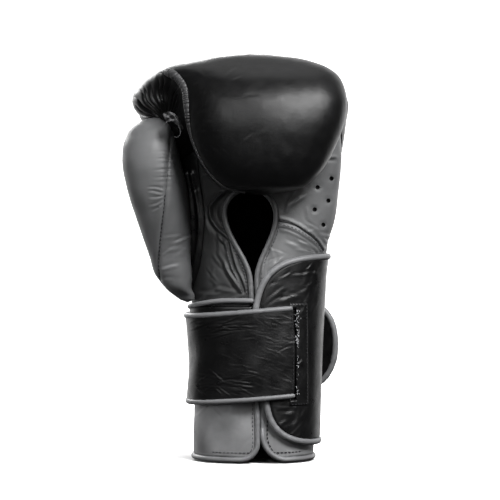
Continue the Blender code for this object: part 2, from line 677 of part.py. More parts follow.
def build_strap():
    """The strap in three lengths, with piping along its edges and a rounded, piped tip."""
    split = STRAP_SPLIT * TURN_PER_METRE
    root = front_turn(STRAP_MIDDLE, 0.0405)
    lengths = (
        ("strap_front", np.linspace(root, FRONT_CORNER + split, 11)),
        ("strap_side", np.linspace(FRONT_CORNER, BACK_CORNER + split, 7)),
    )
    for name, turns in lengths:
        spots = [(turn, 0.0) for turn in turns]
        strap_piece(name, spots, [LEATHER_HALF] * len(spots))
        for end, way in (("top", 1), ("bottom", -1)):
            points = [strap_spot(turn, 0.0, way * STRAP_HALF, STRAP_THICK / 2) for turn in turns]
            cord(f"{name}_piping_{end}", points, PIPING_RADIUS, PIPING)

    def half_width(spot, full, end):
        """The tip narrows to a round end."""
        left = min((end - spot[1]) / TIP_ROUND, 1.0)
        return full * max(1 - (1 - left) ** 2.4, 0.0) ** (1 / 2.4)

    spots = [(turn, 0.0) for turn in np.linspace(BACK_CORNER, TIP_LEAVES, 10)]
    runs = TIP_RUN - TIP_ROUND * np.array([1.0, 0.7, 0.4, 0.2, 0.08, 0.02])
    spots += [(TIP_LEAVES, run) for run in runs]
    end = TIP_RUN - PIPING_RADIUS - 0.4 * MM
    inner = [spot for spot in spots if half_width(spot, 1.0, end) > 0.2]
    strap_piece("strap_back", inner, [half_width(spot, LEATHER_HALF, end) for spot in inner])
    spots.append((TIP_LEAVES, TIP_RUN))
    edges = []
    for way in (1, -1):
        reach = [way * half_width(spot, STRAP_HALF, TIP_RUN) for spot in spots]
        edges.append([strap_spot(*spot, across, STRAP_THICK / 2) for spot, across in zip(spots, reach)])
    cord("strap_tip_piping", edges[0] + edges[1][-2::-1], PIPING_RADIUS, PIPING)
    panel(
        "hook_patch", (0.056, 0.080, 0.104),
        lambda h: math.radians(157), lambda h: math.radians(210), HOOK, 7, BLACK,
    )


# ---------------------------------------------------------------- thumb

def build_thumb(tunnel, knuckle_clear):
    """The thumb: two leather sides that meet at a seam, over foam with a stall in it."""
    heights = (0.1225, 0.127, 0.136, 0.150, 0.164, 0.178, 0.192, 0.207, 0.222, 0.232, 0.241, 0.248, 0.2515)
    ends = (THUMB_BOTTOM, THUMB_TOP)
    hand_clear = tube_cutter("thumb_clearance", 1.2 * MM, 0.2600)
    hollow = as_cutter(pad("thumb_hollow", THUMB_PAD, heights, *ends, -2.0 * MM, GREY, around=18))
    pivot = (THUMB_SEAM_X, 0.0, THUMB_SEAM_Z)
    right_low = (THUMB_SEAM_X - THUMB_SEAM_HALF_GAP, -0.1, 0.0)
    left_high = (THUMB_SEAM_X + THUMB_SEAM_HALF_GAP, 0.1, 0.4)
    right = box("thumb_seam_right", right_low, (0.05, 0.1, 0.4), THUMB_SEAM_LEAN, pivot)
    left = box("thumb_seam_left", (-0.15, -0.1, 0.0), left_high, THUMB_SEAM_LEAN, pivot)
    as_cutter(right)
    as_cutter(left)
    for name, away in (("thumb_outer_shell", right), ("thumb_inner_shell", left)):
        shell = pad(name, THUMB_PAD, heights, *ends, 0.0, GREY, around=18)
        cut(shell, hollow, hand_clear, knuckle_clear, away, tunnel)
    foam = pad("thumb_foam", THUMB_PAD, heights, *ends, -2.3 * MM, FOAM_CREAM, around=18)
    rings = []
    for height, share in STALL_STATIONS:
        x = STALL_X - STALL_LEAN * (height - TUNNEL_HEIGHT)
        radius = STALL_RADIUS * share
        turns = np.linspace(0, 2 * math.pi, 12, endpoint=False)
        rings.append([(x + radius * math.cos(t), STALL_Y + radius * math.sin(t), height) for t in turns])
    stall = rings_mesh("thumb_stall", rings, STALL_BOTTOM, STALL_TOP, GREY)
    cut(foam, hand_clear, knuckle_clear, as_cutter(stall), tunnel)


def main():
    """Build every piece of the glove."""
    for leftover in list(bpy.data.objects):
        bpy.data.objects.remove(leftover, do_unlink=True)
    tunnel = as_cutter(rod(
        "tunnel_cutter", (-0.060, -0.006, TUNNEL_HEIGHT), (-0.010, -0.006, TUNNEL_HEIGHT), TUNNEL_RADIUS,
    ))
    lining_slit = slit_cutter("lining_slit_cutter", 0.0, -0.010)
    build_lining(lining_slit, tunnel)
    palm_clear, hand_clear = build_foam(lining_slit, tunnel)
    knuckle_clear = build_shells(palm_clear, hand_clear)
    build_palm(tunnel)
    build_cuff()
    build_bindings()
    build_inside()
    build_right_wing()
    build_left_wing()
    build_strap()
    build_thumb(tunnel, knuckle_clear)


main()
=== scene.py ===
"""The looks of a padded training glove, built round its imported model.

The glove stands on its cuff with the palm towards -Y and the thumb at -X. Everything on the
hand and cuff is measured out from one tube, the outer face of the palm leather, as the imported
solids are. A turn of 0 on the tube faces the front and a quarter turn faces +X.
"""

import math

import bmesh
import bpy
import numpy as np
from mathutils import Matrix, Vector, noise
from mathutils.bvhtree import BVHTree


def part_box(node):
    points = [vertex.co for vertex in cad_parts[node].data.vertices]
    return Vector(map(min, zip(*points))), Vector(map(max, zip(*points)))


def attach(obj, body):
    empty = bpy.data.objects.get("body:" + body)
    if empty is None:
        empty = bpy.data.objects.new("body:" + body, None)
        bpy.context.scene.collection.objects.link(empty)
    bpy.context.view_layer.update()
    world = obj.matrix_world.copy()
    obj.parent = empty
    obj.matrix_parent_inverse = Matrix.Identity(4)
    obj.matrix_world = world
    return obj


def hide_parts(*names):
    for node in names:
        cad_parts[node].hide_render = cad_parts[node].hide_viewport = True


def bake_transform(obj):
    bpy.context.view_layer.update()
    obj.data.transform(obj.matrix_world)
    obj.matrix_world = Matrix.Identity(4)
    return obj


MM = 0.001

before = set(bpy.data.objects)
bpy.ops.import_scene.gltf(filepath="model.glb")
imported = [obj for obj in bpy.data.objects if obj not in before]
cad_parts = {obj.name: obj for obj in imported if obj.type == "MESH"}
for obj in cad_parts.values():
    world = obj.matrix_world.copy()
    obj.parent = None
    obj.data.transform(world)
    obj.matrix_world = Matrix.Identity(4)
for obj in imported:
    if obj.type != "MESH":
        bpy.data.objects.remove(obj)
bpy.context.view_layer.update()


def top_of(node):
    """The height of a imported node's top."""
    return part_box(node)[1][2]


# ---------------------------------------------------------------- driving dimensions

# Stations: height, then the left, right, front and back faces there.
TUBE = (
    (0.000, -0.0311, 0.0585, -0.0270, 0.0570),
    (0.040, -0.0305, 0.0595, -0.0268, 0.0575),
    (0.080, -0.0290, 0.0608, -0.0262, 0.0580),
    (0.115, -0.0325, 0.0625, -0.0250, 0.0560),
    (0.150, -0.0360, 0.0655, -0.0235, 0.0480),
    (0.178, -0.0385, 0.0742, -0.0225, 0.0430),
    (0.200, -0.0400, 0.0770, -0.0230, 0.0400),
    (0.225, -0.0420, 0.0790, -0.0260, 0.0360),
    (0.250, -0.0380, 0.0775, -0.0240, 0.0300),
)
TUBE_POWER = 2.4
KNUCKLE_PAD = (
    (0.119, -0.0375, 0.0665, 0.0000, 0.0632),
    (0.130, -0.0400, 0.0670, 0.0000, 0.0665),
    (0.160, -0.0470, 0.0700, -0.0020, 0.0735),
    (0.190, -0.0540, 0.0745, -0.0060, 0.0780),
    (0.215, -0.0590, 0.0775, -0.0150, 0.0790),
    (0.235, -0.0625, 0.0812, -0.0300, 0.0765),
    (0.250, -0.0690, 0.0830, -0.0400, 0.0725),
    (0.268, -0.0775, 0.0842, -0.0450, 0.0630),
    (0.283, -0.0680, 0.0742, -0.0440, 0.0480),
    (0.293, -0.0490, 0.0545, -0.0360, 0.0270),
)
KNUCKLE_TOP = (0.008, -0.010, 0.2985)
CURL_PAD = (
    (0.1965, 0.0080, 0.0320, -0.0570, -0.0430),
    (0.1985, -0.0035, 0.0440, -0.0640, -0.0320),
    (0.2050, -0.0152, 0.0555, -0.0715, -0.0200),
    (0.2150, -0.0238, 0.0648, -0.0768, -0.0120),
    (0.2300, -0.0310, 0.0728, -0.0795, -0.0080),
    (0.2480, -0.0352, 0.0795, -0.0798, -0.0060),
    (0.2640, -0.0368, 0.0815, -0.0765, -0.0060),
    (0.2780, -0.0395, 0.0790, -0.0690, -0.0080),
    (0.2880, -0.0340, 0.0690, -0.0560, -0.0230),
    (0.2945, -0.0220, 0.0500, -0.0480, -0.0250),
)
CURL_BOTTOM = (0.020, -0.050, 0.1940)
CURL_TOP = (0.011, -0.035, 0.2995)
# The roll of padding that carries the curled pad over the top into the knuckle pad.
CROWN_PAD = (
    (0.256, -0.0300, 0.0770, -0.0600, 0.0500),
    (0.268, -0.0360, 0.0805, -0.0700, 0.0580),
    (0.276, -0.0520, 0.0790, -0.0670, 0.0520),
    (0.283, -0.0640, 0.0725, -0.0620, 0.0440),
    (0.291, -0.0520, 0.0600, -0.0510, 0.0290),
)
CROWN_TOP = (0.008, -0.014, 0.2986)
THUMB_PAD = (
    (0.1190, -0.0405, -0.0300, -0.0085, 0.0005),
    (0.1225, -0.0455, -0.0300, -0.0115, 0.0035),
    (0.1250, -0.0487, -0.0315, -0.0150, 0.0070),
    (0.1360, -0.0580, -0.0315, -0.0200, 0.0130),
    (0.1500, -0.0629, -0.0325, -0.0230, 0.0160),
    (0.1780, -0.0725, -0.0325, -0.0310, 0.0175),
    (0.2000, -0.0792, -0.0348, -0.0350, 0.0165),
    (0.2220, -0.0827, -0.0401, -0.0362, 0.0140),
    (0.2370, -0.0803, -0.0437, -0.0330, 0.0100),
    (0.2480, -0.0725, -0.0459, -0.0270, 0.0030),
    (0.2515, -0.0655, -0.0495, -0.0215, -0.0030),
)
THUMB_BOTTOM = (-0.0350, -0.004, 0.1170)
THUMB_TOP = (-0.0560, -0.012, 0.2535)
PAD_POWER = 2.3

# The opening in the palm, the slit below it, and how wide and high the hem's corners are rounded.
WINDOW_RADIUS = 0.0186
WINDOW_HEIGHT = 0.1815
SLIT_WIDE = 0.0022
SLIT_NARROW = 0.0018
LEFT_CORNER = (0.0122, 0.0145)
RIGHT_CORNER = (0.0180, 0.0215)
RIGHT_LAP = 2.6 * MM
HEM_HEIGHT = 2.6 * MM

# The sides of the palm's leather, and its seams and the thumb's, as heights and the x there.
SIDE = math.radians(89.5)
CUFF_SEAM = 0.0800
PALM_TOP = top_of("palm_panel_vented")
CUFF_TOP = top_of("cuff_panel_back")
GUSSET_EDGE = (
    (0.0800, -0.0295), (0.1180, -0.0330), (0.1280, -0.0310), (0.1440, -0.0262),
    (0.1630, -0.0237), (0.1780, -0.0225), (0.1920, -0.0237), (0.2070, -0.0259),
    (0.2480, -0.0290),
)
HEEL_SEAM = (
    (0.1540, 0.0655), (0.1620, 0.0600), (0.1687, 0.0512), (0.1745, 0.0400), (0.1765, 0.0318),
)
THUMB_SEAM = (
    (0.1190, -0.0450), (0.1225, -0.0490), (0.1295, -0.0538), (0.1406, -0.0557), (0.1554, -0.0550),
    (0.1740, -0.0528), (0.1890, -0.0510), (0.2050, -0.0494), (0.2300, -0.0470), (0.2560, -0.0440),
)
# The vents, as x and height.
VENTS = ((0.0710, 0.2079), (0.0607, 0.2013), (0.0688, 0.1917), (0.0585, 0.1850), (0.0651, 0.1739))
VENT_RADIUS = 1.6 * MM

# Thicknesses, radii, and how far out from the tube the layers lie.
LEATHER = 1.6 * MM
EDGE_GAP = 1.2 * MM
BINDING_RADIUS = 1.85 * MM
EDGE_RADIUS = 1.95 * MM
WIDE_EDGE_RADIUS = 2.3 * MM
PADDING_OUT, PADDING_THICK = -2.6 * MM, 4.6 * MM
LINING_IN, LINING_OUT = -9.7 * MM, -8.6 * MM
CAVITY_OUT, CAVITY_TOP = -7.4 * MM, 0.2445
TUNNEL_PLACE, TUNNEL_RADIUS = (-0.006, 0.163), 0.009
GRIP_LEFT, GRIP_RIGHT = -0.008, 0.044
GRIP_PLACE, GRIP_RADIUS = (-0.0045, 0.2120), 6.0 * MM

# The right wing: a D round its middle height, from its sewn root to its round tip.
WING_MIDDLE = 0.0824
WING_HALF = 0.0682
WING_TIP_X = 0.0148
WING_ROOT = math.radians(92.0)
WING_ROUND_HIGH, WING_ROUND_LOW = 3.3, 4.2
WING_SHY_LOW = 0.115
WING_OUT, WING_THICK, WING_EDGE_OUT = 4.6 * MM, 3.4 * MM, 3.4 * MM
WING_INSET = 1.6 * MM
TURN_PER_METRE = 1 / 0.043
SLOT_LEFT, SLOT_RIGHT = 0.0403, 0.0449
SLOT_LOW, SLOT_HIGH = 0.0459, 0.1131
PATCH_OUT, PATCH_THICK = 5.6 * MM, 1.3 * MM
SEWN_OUT, SEWN_IN = 2.2 * MM, 0.9 * MM
UNDERLAY_LOW, UNDERLAY_HIGH = 0.0480, 0.1165
UNDERLAY_OUT, UNDERLAY_THICK, UNDERLAY_EDGE = 1.9 * MM, 1.3 * MM, 1.9 * MM

# The strap: its level and slope, its corners round the cuff, and its free tip.
STRAP_MIDDLE = 0.0777
STRAP_SLOPE = 0.085
STRAP_HALF = 0.0317
STRAP_THICK = 2.4 * MM
STRAP_OVER_WING = 6.5 * MM
STRAP_ROUND_CUFF = 3.4 * MM
STRAP_GAP = 0.3 * MM
STRAP_LEATHER_HALF = STRAP_HALF - 0.9 * MM
STRAP_BEND_REACH = 7.0 * MM
FRONT_CORNER = math.radians(-62.0)
BACK_CORNER = math.radians(-128.0)
SIDE_MIDDLE = (FRONT_CORNER + BACK_CORNER) / 2
TIP_LEAVES = math.radians(-205.0)
TIP_RUN = 0.0420
TIP_ROUND = 0.0240
TIP_POWER = 2.4

# The stage's glow, and how far the floor lies under the glove.
FLOOR_GLOW = 1.0
FLOOR_DOWN = -0.4 * MM


# ---------------------------------------------------------------- shape functions

def smooth(rows, height):
    """Read stations at heights, on a smooth curve through them."""
    rows = np.array(rows)
    heights, values = rows[:, 0], rows[:, 1:]
    slopes = np.gradient(values, heights, axis=0)
    height = np.clip(np.asarray(height, float), heights[0], heights[-1])
    i = np.clip(np.searchsorted(heights, height) - 1, 0, len(heights) - 2)
    step = (heights[i + 1] - heights[i])[..., None]
    t = (height - heights[i])[..., None] / step
    rise = (values[i + 1] - values[i]) * t * t * (3 - 2 * t)
    return values[i] + rise + step * (slopes[i] * t * (1 - t) ** 2 + slopes[i + 1] * t * t * (t - 1))


def oval(section, turn, out=0.0, power=TUBE_POWER):
    """Points of rounded sections, pushed out along their normals."""
    left, right, front, back = np.moveaxis(section, -1, 0)
    a, b = (right - left) / 2, (back - front) / 2
    s, c = np.sin(turn), -np.cos(turn)
    reach = (abs(s / a) ** power + abs(c / b) ** power) ** (-1 / power)
    x, y = reach * s, reach * c
    nx = np.sign(x) * abs(x / a) ** (power - 1) / a
    ny = np.sign(y) * abs(y / b) ** (power - 1) / b
    push = out / np.hypot(nx, ny)
    return (left + right) / 2 + x + push * nx, (front + back) / 2 + y + push * ny


def on_tube(height, turn, out=0.0):
    """Points at heights, turns and distances out from the tube."""
    height, turn = np.broadcast_arrays(np.asarray(height, float), np.asarray(turn, float))
    x, y = oval(smooth(TUBE, height), turn, out)
    return np.stack([x, y, height], axis=-1)


def front_turn(height, x):
    """The turns at which the front of the tube reaches x."""
    left, right, front, back = np.moveaxis(smooth(TUBE, height), -1, 0)
    a, b = (right - left) / 2, (back - front) / 2
    across = np.clip((x - (left + right) / 2) / a, -0.992, 0.992)
    deep = b * (1 - abs(across) ** TUBE_POWER) ** (1 / TUBE_POWER)
    return np.arctan2(across * a, deep)


def on_front(x, height, out=0.0):
    """Points of the front of the tube at each x and height."""
    height = np.asarray(height, float)
    return on_tube(height, front_turn(height, x), out)


def ease(value):
    """Smooth steps from 0 to 1."""
    t = np.clip(value, 0.0, 1.0)
    return t * t * (3 - 2 * t)


def slit_middle(height):
    """The x of the opening's middle line."""
    return 0.0109 + 0.0074 * np.clip((0.190 - np.asarray(height, float)) / 0.150, 0.0, 1.0)


def slit_half(height, side=-1):
    """Half the width between the bindings of the opening, whose hem corners are rounded."""
    height = np.asarray(height, float)
    corner_wide, corner_high = LEFT_CORNER if side < 0 else RIGHT_CORNER
    over = np.clip((height - WINDOW_HEIGHT) / WINDOW_RADIUS, 0.0, 1.0)
    window = WINDOW_RADIUS * np.sqrt(1 - over * over)
    down = np.clip((WINDOW_HEIGHT - height) / 0.050, 0.0, 1.0)
    neck = SLIT_WIDE + (WINDOW_RADIUS - SLIT_WIDE) * 0.5 * (1 + np.cos(math.pi * down))
    narrow = SLIT_NARROW + (SLIT_WIDE - SLIT_NARROW) * np.clip(height / 0.130, 0.0, 1.0)
    corner = np.clip((corner_high - height) / (corner_high - HEM_HEIGHT), 0.0, 1.0)
    slit = narrow + corner_wide * (1 - np.sqrt(1 - corner * corner))
    return np.where(height > WINDOW_HEIGHT, window, np.where(down < 1, neck, slit))


def wing_turn(height, inset=0.0):
    """The turn of the right wing's D-shaped edge, or of a line inside it."""
    off = np.clip((np.asarray(height, float) - WING_MIDDLE) / (WING_HALF - inset), -1.0, 1.0)
    reach = WING_ROOT - front_turn(WING_MIDDLE, WING_TIP_X) - inset * TURN_PER_METRE
    reach = reach * (1 - WING_SHY_LOW * ease(-off / 0.45))
    power = np.where(off > 0, WING_ROUND_HIGH, WING_ROUND_LOW)
    return WING_ROOT - reach * (1 - abs(off) ** power) ** (1 / power)


def chord_of(points):
    """The distance along a line at each of its points."""
    return np.concatenate([[0], np.cumsum(np.linalg.norm(np.diff(points, axis=0), axis=1))])


def read_along(places, chord, rows):
    """Rows of values read at places along a line."""
    return np.stack([np.interp(places, chord, column) for column in rows.T], axis=1)


def even(points, step):
    """Resample a line at even spacing."""
    chord = chord_of(points)
    places = np.linspace(0, chord[-1], max(int(round(chord[-1] / step)) + 1, 2))
    return read_along(places, chord, points)


def route(points, step=1.0 * MM):
    """A smooth line through points, with evenly spaced places along it."""
    points = np.array(points, float)
    chord = chord_of(points)
    rows = np.column_stack([chord, points])
    fine = smooth(rows, np.linspace(0, chord[-1], max(int(chord[-1] / step) * 3, 12)))
    return even(fine, step)


def steps(start, stop, size=1.0 * MM):
    """Heights from one to another."""
    return np.linspace(start, stop, int(round(abs(stop - start) / size)) + 1)


def full_turn(count):
    """Turns all the way round, evenly spaced."""
    return np.linspace(0, 2 * math.pi, count, endpoint=False)


def unit(rows):
    """Rows scaled to length 1."""
    return rows / np.linalg.norm(rows, axis=1, keepdims=True)


def near(path, x, z):
    """The distance to a line in the front view, and the share along it."""
    spots = np.stack([np.ravel(x), np.ravel(z)], axis=1)
    away = spots[:, None, :] - path[None, :, :]
    reach = np.hypot(away[..., 0], away[..., 1])
    nearest = reach.argmin(axis=1)
    share = nearest / (len(path) - 1)
    reach = reach[np.arange(len(spots)), nearest]
    return reach.reshape(np.shape(x)), share.reshape(np.shape(x))


def ridge(x, z, path, width, rise, fade=0.15):
    """A rounded ridge (or a groove, if the rise is negative) along a line in the front view."""
    reach, along = near(path, x, z)
    ends = ease(along / fade) * ease((1 - along) / fade) if fade else 1.0
    return rise * np.exp(-(reach / width) ** 2) * ends


def creases(x, z, seed, count, area, angle, spread, length, rise, fine=1.0):
    """Soft folds of worn leather: short, slightly bent ridges with a groove beside each."""
    random = np.random.default_rng(seed)
    total = np.zeros(np.shape(x))
    (x0, z0), (x1, z1) = area
    for _ in range(count):
        cx, cz = random.uniform(x0, x1), random.uniform(z0, z1)
        lean = math.radians(angle + random.normal(0, spread))
        long = length * random.uniform(0.5, 1.3)
        bend = random.normal(0, 0.12) / long
        u = (x - cx) * math.cos(lean) + (z - cz) * math.sin(lean)
        v = -(x - cx) * math.sin(lean) + (z - cz) * math.cos(lean) + bend * u * u
        wide = random.uniform(0.7, 1.5) * MM * fine
        strength = rise * random.uniform(0.4, 1.0)
        wave = np.exp(-(v / wide) ** 2) - 0.8 * np.exp(-((v - 1.7 * wide) / wide) ** 2)
        total += strength * wave * np.exp(-(u / (long / 2)) ** 4)
    return total


def folded(ridges=(), worn=(), extra=None):
    """A leather's relief: rows of ridges, rows of creases and what else it has."""
    def relief(x, z):
        total = sum(ridge(x, z, *row) for row in ridges)
        total = total + sum(creases(x, z, *row) for row in worn)
        return total + extra(x, z) if extra else total
    return relief


def lumps(points, size, depth, seed=0.0):
    """A gentle unevenness, as stuffed leather has."""
    flat = points.reshape(-1, 3) / size + seed
    values = [noise.noise(Vector(p)) for p in flat]
    return depth * np.array(values).reshape(points.shape[:-1])


# ---------------------------------------------------------------- mesh functions

def tool(name, points, faces):
    """A closed mesh with no finish yet, to build a piece from or to cut with."""
    mesh = bpy.data.meshes.new(name)
    spots = np.asarray(points, float).reshape(-1, 3).tolist()
    mesh.from_pydata(spots, [], [tuple(map(int, face)) for face in faces])
    shape = bmesh.new()
    shape.from_mesh(mesh)
    bmesh.ops.recalc_face_normals(shape, faces=shape.faces[:])
    shape.to_mesh(mesh)
    shape.free()
    thing = bpy.data.objects.new(name, mesh)
    bpy.context.scene.collection.objects.link(thing)
    return thing


def settle(thing, material, body, nodes):
    """Finish a piece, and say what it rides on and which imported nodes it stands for."""
    thing.data.shade_smooth()
    thing.data.materials.clear()
    thing.data.materials.append(material)
    if body:
        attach(thing, body)
    if nodes:
        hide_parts(*nodes)
    return thing


def piece(name, points, faces, material, body=None, nodes=()):
    """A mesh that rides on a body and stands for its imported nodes."""
    return settle(tool(name, points, faces), material, body, nodes)


def read(items, key, columns, kind=float):
    """A row of values for each point, edge or normal of a mesh."""
    values = np.empty(len(items) * columns, dtype=kind)
    items.foreach_get(key, values)
    return values.reshape(-1, columns)


def grid_faces(rows, columns, start=0, flip=False):
    """Quads over a grid of points."""
    i, j = np.meshgrid(np.arange(rows - 1), np.arange(columns - 1), indexing="ij")
    a = (start + i * columns + j).ravel()
    quads = np.stack([a, a + 1, a + columns + 1, a + columns], axis=1)
    return quads[:, ::-1] if flip else quads


def sheet(name, inner, outer, material, body=None, nodes=()):
    """A closed sheet between two grids of points."""
    rows, columns = inner.shape[:2]
    far = rows * columns
    rim = list(range(columns - 1))
    rim += [i * columns + columns - 1 for i in range(rows - 1)]
    rim += [(rows - 1) * columns + j for j in range(columns - 1, 0, -1)]
    rim += [i * columns for i in range(rows - 1, 0, -1)]
    edge = [(b, a, far + a, far + b) for a, b in zip(rim, rim[1:] + rim[:1])]
    faces = list(grid_faces(rows, columns)) + list(grid_faces(rows, columns, far, True)) + edge
    points = np.concatenate([inner.reshape(-1, 3), outer.reshape(-1, 3)])
    return piece(name, points, faces, material, body, nodes)


def edge_turns(edge, heights):
    """The turns of a panel's edge, which may be one turn or a function of height."""
    return edge(heights) if callable(edge) else np.full(heights.shape, edge)


def skin(name, heights, left, right, columns, relief, material, body, nodes,
         out=0.0, thick=LEATHER, roll=1.2 * MM):
    """A panel on the tube between two edges, with rolled-in edges and a relief."""
    lefts, rights = edge_turns(left, heights), edge_turns(right, heights)
    share = np.linspace(0, 1, columns)
    turns = lefts[:, None] + (rights - lefts)[:, None] * share
    tall = np.broadcast_to(heights[:, None], turns.shape)
    flat = on_tube(tall, turns, out)
    span = np.abs(rights - lefts)[:, None] / TURN_PER_METRE
    to_side = np.minimum(share, 1 - share)[None, :] * span
    to_end = np.minimum(tall - heights[0], heights[-1] - tall)
    edge = np.minimum(to_side, to_end)
    drop = 0.55 * thick * (1 - np.sqrt(1 - (1 - np.clip(edge / roll, 0, 1)) ** 2))
    rise = relief(flat[..., 0], flat[..., 2]) if relief else 0.0
    outer = on_tube(tall, turns, out + rise * ease(edge / (2 * roll)) - drop)
    inner = on_tube(tall, turns, out - thick)
    return sheet(name, inner, outer, material, body, nodes)


def sweep_points(points, wide, tall, ups, sides):
    """Rings of an oval section swept along a line, with rounded ends."""
    along = unit(np.gradient(points, axis=0))
    ups = unit(ups - (ups * along).sum(axis=1, keepdims=True) * along)
    across = np.cross(along, ups)
    turns = full_turn(sides)
    wide = np.broadcast_to(wide, len(points))[:, None, None]
    tall = np.broadcast_to(tall, len(points))[:, None, None]
    ring = across[:, None] * np.cos(turns)[None, :, None] * wide
    ring = ring + ups[:, None] * np.sin(turns)[None, :, None] * tall
    caps = []
    for end, way in ((0, -1), (-1, 1)):
        for share in (0.55, 0.85, 0.99):
            shrink = math.sqrt(1 - share * share)
            shift = way * share * tall[end, 0, 0] * along[end]
            caps.append(points[end] + shift + ring[end] * shrink)
    rings = points[:, None] + ring
    return np.concatenate([np.array(caps[2::-1]), rings, np.array(caps[3:])])


def ring_faces(rings, around, start=0):
    """Quads round a run of rings, with a flat cap at each end."""
    i, j = np.meshgrid(np.arange(rings - 1), np.arange(around), indexing="ij")
    k = (j + 1) % around
    near_side, far_side = i * around, (i + 1) * around
    quads = np.stack([near_side + j, near_side + k, far_side + k, far_side + j], axis=-1)
    faces = [tuple(face) for face in (quads.reshape(-1, 4) + start)]
    faces.append(tuple(start + a for a in range(around - 1, -1, -1)))
    faces.append(tuple(start + (rings - 1) * around + a for a in range(around)))
    return faces


def rods(name, runs, around, material, body):
    """Many short rods as one piece, each given as its rings of points."""
    faces = []
    for number, rings in enumerate(runs):
        faces += ring_faces(len(rings), around, number * around * len(rings))
    return piece(name, np.array(runs), faces, material, body)


def piping(name, points, ups, radius, material, body, nodes=(), flat=1.0, seed=1, wrinkle=0.05):
    """A bound or corded edge: a round roll with the small cross wrinkles of folded leather."""
    ripple = np.random.default_rng(seed).normal(0, 1, len(points))
    ripple = np.convolve(ripple, (0.25, 0.5, 0.25), "same")
    size = radius * (1 + wrinkle * ripple)
    rings = sweep_points(points, size, size * flat, ups, 16)
    return piece(name, rings, ring_faces(len(rings), 16), material, body, nodes)


def stitches(name, points, ups, material, body,
             length=2.0 * MM, pitch=2.9 * MM, thick=0.36 * MM):
    """A row of stitches: a short pressed-in thread for each."""
    chord = chord_of(points)
    count = max(int(chord[-1] / pitch), 1)
    sag = np.array([-0.9, -0.15, 0.35, 0.35, -0.15, -0.9]) * thick
    wide = np.array([0.55, 0.95, 1.0, 1.0, 0.95, 0.55]) * thick
    runs = []
    for number in range(count):
        middle = (number + 0.5) * chord[-1] / count
        places = middle + length * np.array([-0.5, -0.36, -0.12, 0.12, 0.36, 0.5])
        up = read_along(places, chord, ups)
        line = read_along(places, chord, points) + up * sag[:, None]
        runs.append(sweep_points(line, wide, wide * 0.8, up, 6)[2:-2])
    return rods(name, runs, 6, material, body)


def blob(stations, bottom, top, rows, around, out=0.0):
    """A padded form as a closed mesh: its points and faces."""
    first, last = stations[0][0], stations[-1][0]
    share = np.linspace(0, 1, rows)
    heights = first + (last - first) * (0.25 * (1 - np.cos(math.pi * share)) + 0.5 * share)
    sections = smooth(stations, heights)[:, None, :]
    x, y = oval(sections, full_turn(around)[None, :], out, PAD_POWER)
    rings = np.stack([x, y, np.broadcast_to(heights[:, None], x.shape)], axis=-1)
    ends = np.array([bottom if bottom is not None else rings[0].mean(axis=0), top])
    faces = ring_faces(rows, around)[:-2]
    count = rows * around
    for j in range(around):
        k = (j + 1) % around
        faces.append((count, k, j))
        faces.append((count + 1, count - around + j, count - around + k))
    return np.concatenate([rings.reshape(-1, 3), ends]), faces


def apply_modifiers(thing):
    """Turn a piece's modifiers into mesh."""
    bpy.context.view_layer.update()
    graph = bpy.context.evaluated_depsgraph_get()
    mesh = bpy.data.meshes.new_from_object(thing.evaluated_get(graph))
    thing.modifiers.clear()
    old = thing.data
    thing.data = mesh
    bpy.data.meshes.remove(old)


def carve(thing, *tools):
    """Cut tools out of a piece, and remove them."""
    for cutter in tools:
        cut = thing.modifiers.new("cut", "BOOLEAN")
        cut.operation = "DIFFERENCE"
        cut.solver = "EXACT"
        cut.object = cutter
    apply_modifiers(thing)
    for cutter in tools:
        bpy.data.objects.remove(cutter, do_unlink=True)


def prism(name, outline, front, back):
    """An outline in the front view carried from front to back, to cut with."""
    count = len(outline)
    spots = [(x, y, z) for y in (front, back) for x, z in outline]
    faces = [tuple(range(count)), tuple(range(2 * count - 1, count - 1, -1))]
    faces += [(i, (i + 1) % count, count + (i + 1) % count, count + i) for i in range(count)]
    return tool(name, spots, faces)


def block(name, corner, opposite):
    """A box between two corners, to cut with."""
    spots = [(x, y, z) for x in (corner[0], opposite[0]) for y in (corner[1], opposite[1])
             for z in (corner[2], opposite[2])]
    faces = [(0, 1, 3, 2), (4, 6, 7, 5), (0, 4, 5, 1), (2, 3, 7, 6), (0, 2, 6, 4), (1, 5, 7, 3)]
    return tool(name, spots, faces)


def tube_tool(heights, out, deepest=1.0):
    """The tube as a solid to cut with, which goes no deeper than a limit."""
    rings = on_tube(np.maximum(heights, 0)[:, None], full_turn(96)[None, :], out)
    rings[..., 2] = heights[:, None]
    rings[..., 1] = np.minimum(rings[..., 1], deepest)
    return tool("tube", rings, ring_faces(len(heights), 96))


# ---------------------------------------------------------------- materials

def feed(node, values):
    """Set a node's inputs, each to a value or to another node's output."""
    for name, value in values.items():
        if isinstance(value, bpy.types.NodeSocket):
            node.id_data.links.new(value, node.inputs[name])
        else:
            node.inputs[name].default_value = value


def new_material(name, slot=None):
    """A material with its nodes and shader, which knows the record's slot that it belongs to."""
    material = bpy.data.materials.new(name)
    material.use_nodes = True
    if slot:
        material["slot"] = slot
    return material, material.node_tree.nodes, material.node_tree.nodes["Principled BSDF"]


def texture(nodes, kind, scale, detail=2.0, stretch=(1, 1, 1), **settings):
    """A procedural texture in metres, which may be stretched."""
    place = nodes.new("ShaderNodeTexCoord")
    spread = nodes.new("ShaderNodeMapping")
    feed(spread, {"Vector": place.outputs["Object"], "Scale": stretch})
    made = nodes.new(kind)
    feed(made, {"Vector": spread.outputs["Vector"], "Scale": scale})
    if "Detail" in made.inputs:
        feed(made, {"Detail": detail})
    for key, value in settings.items():
        setattr(made, key, value)
    return made


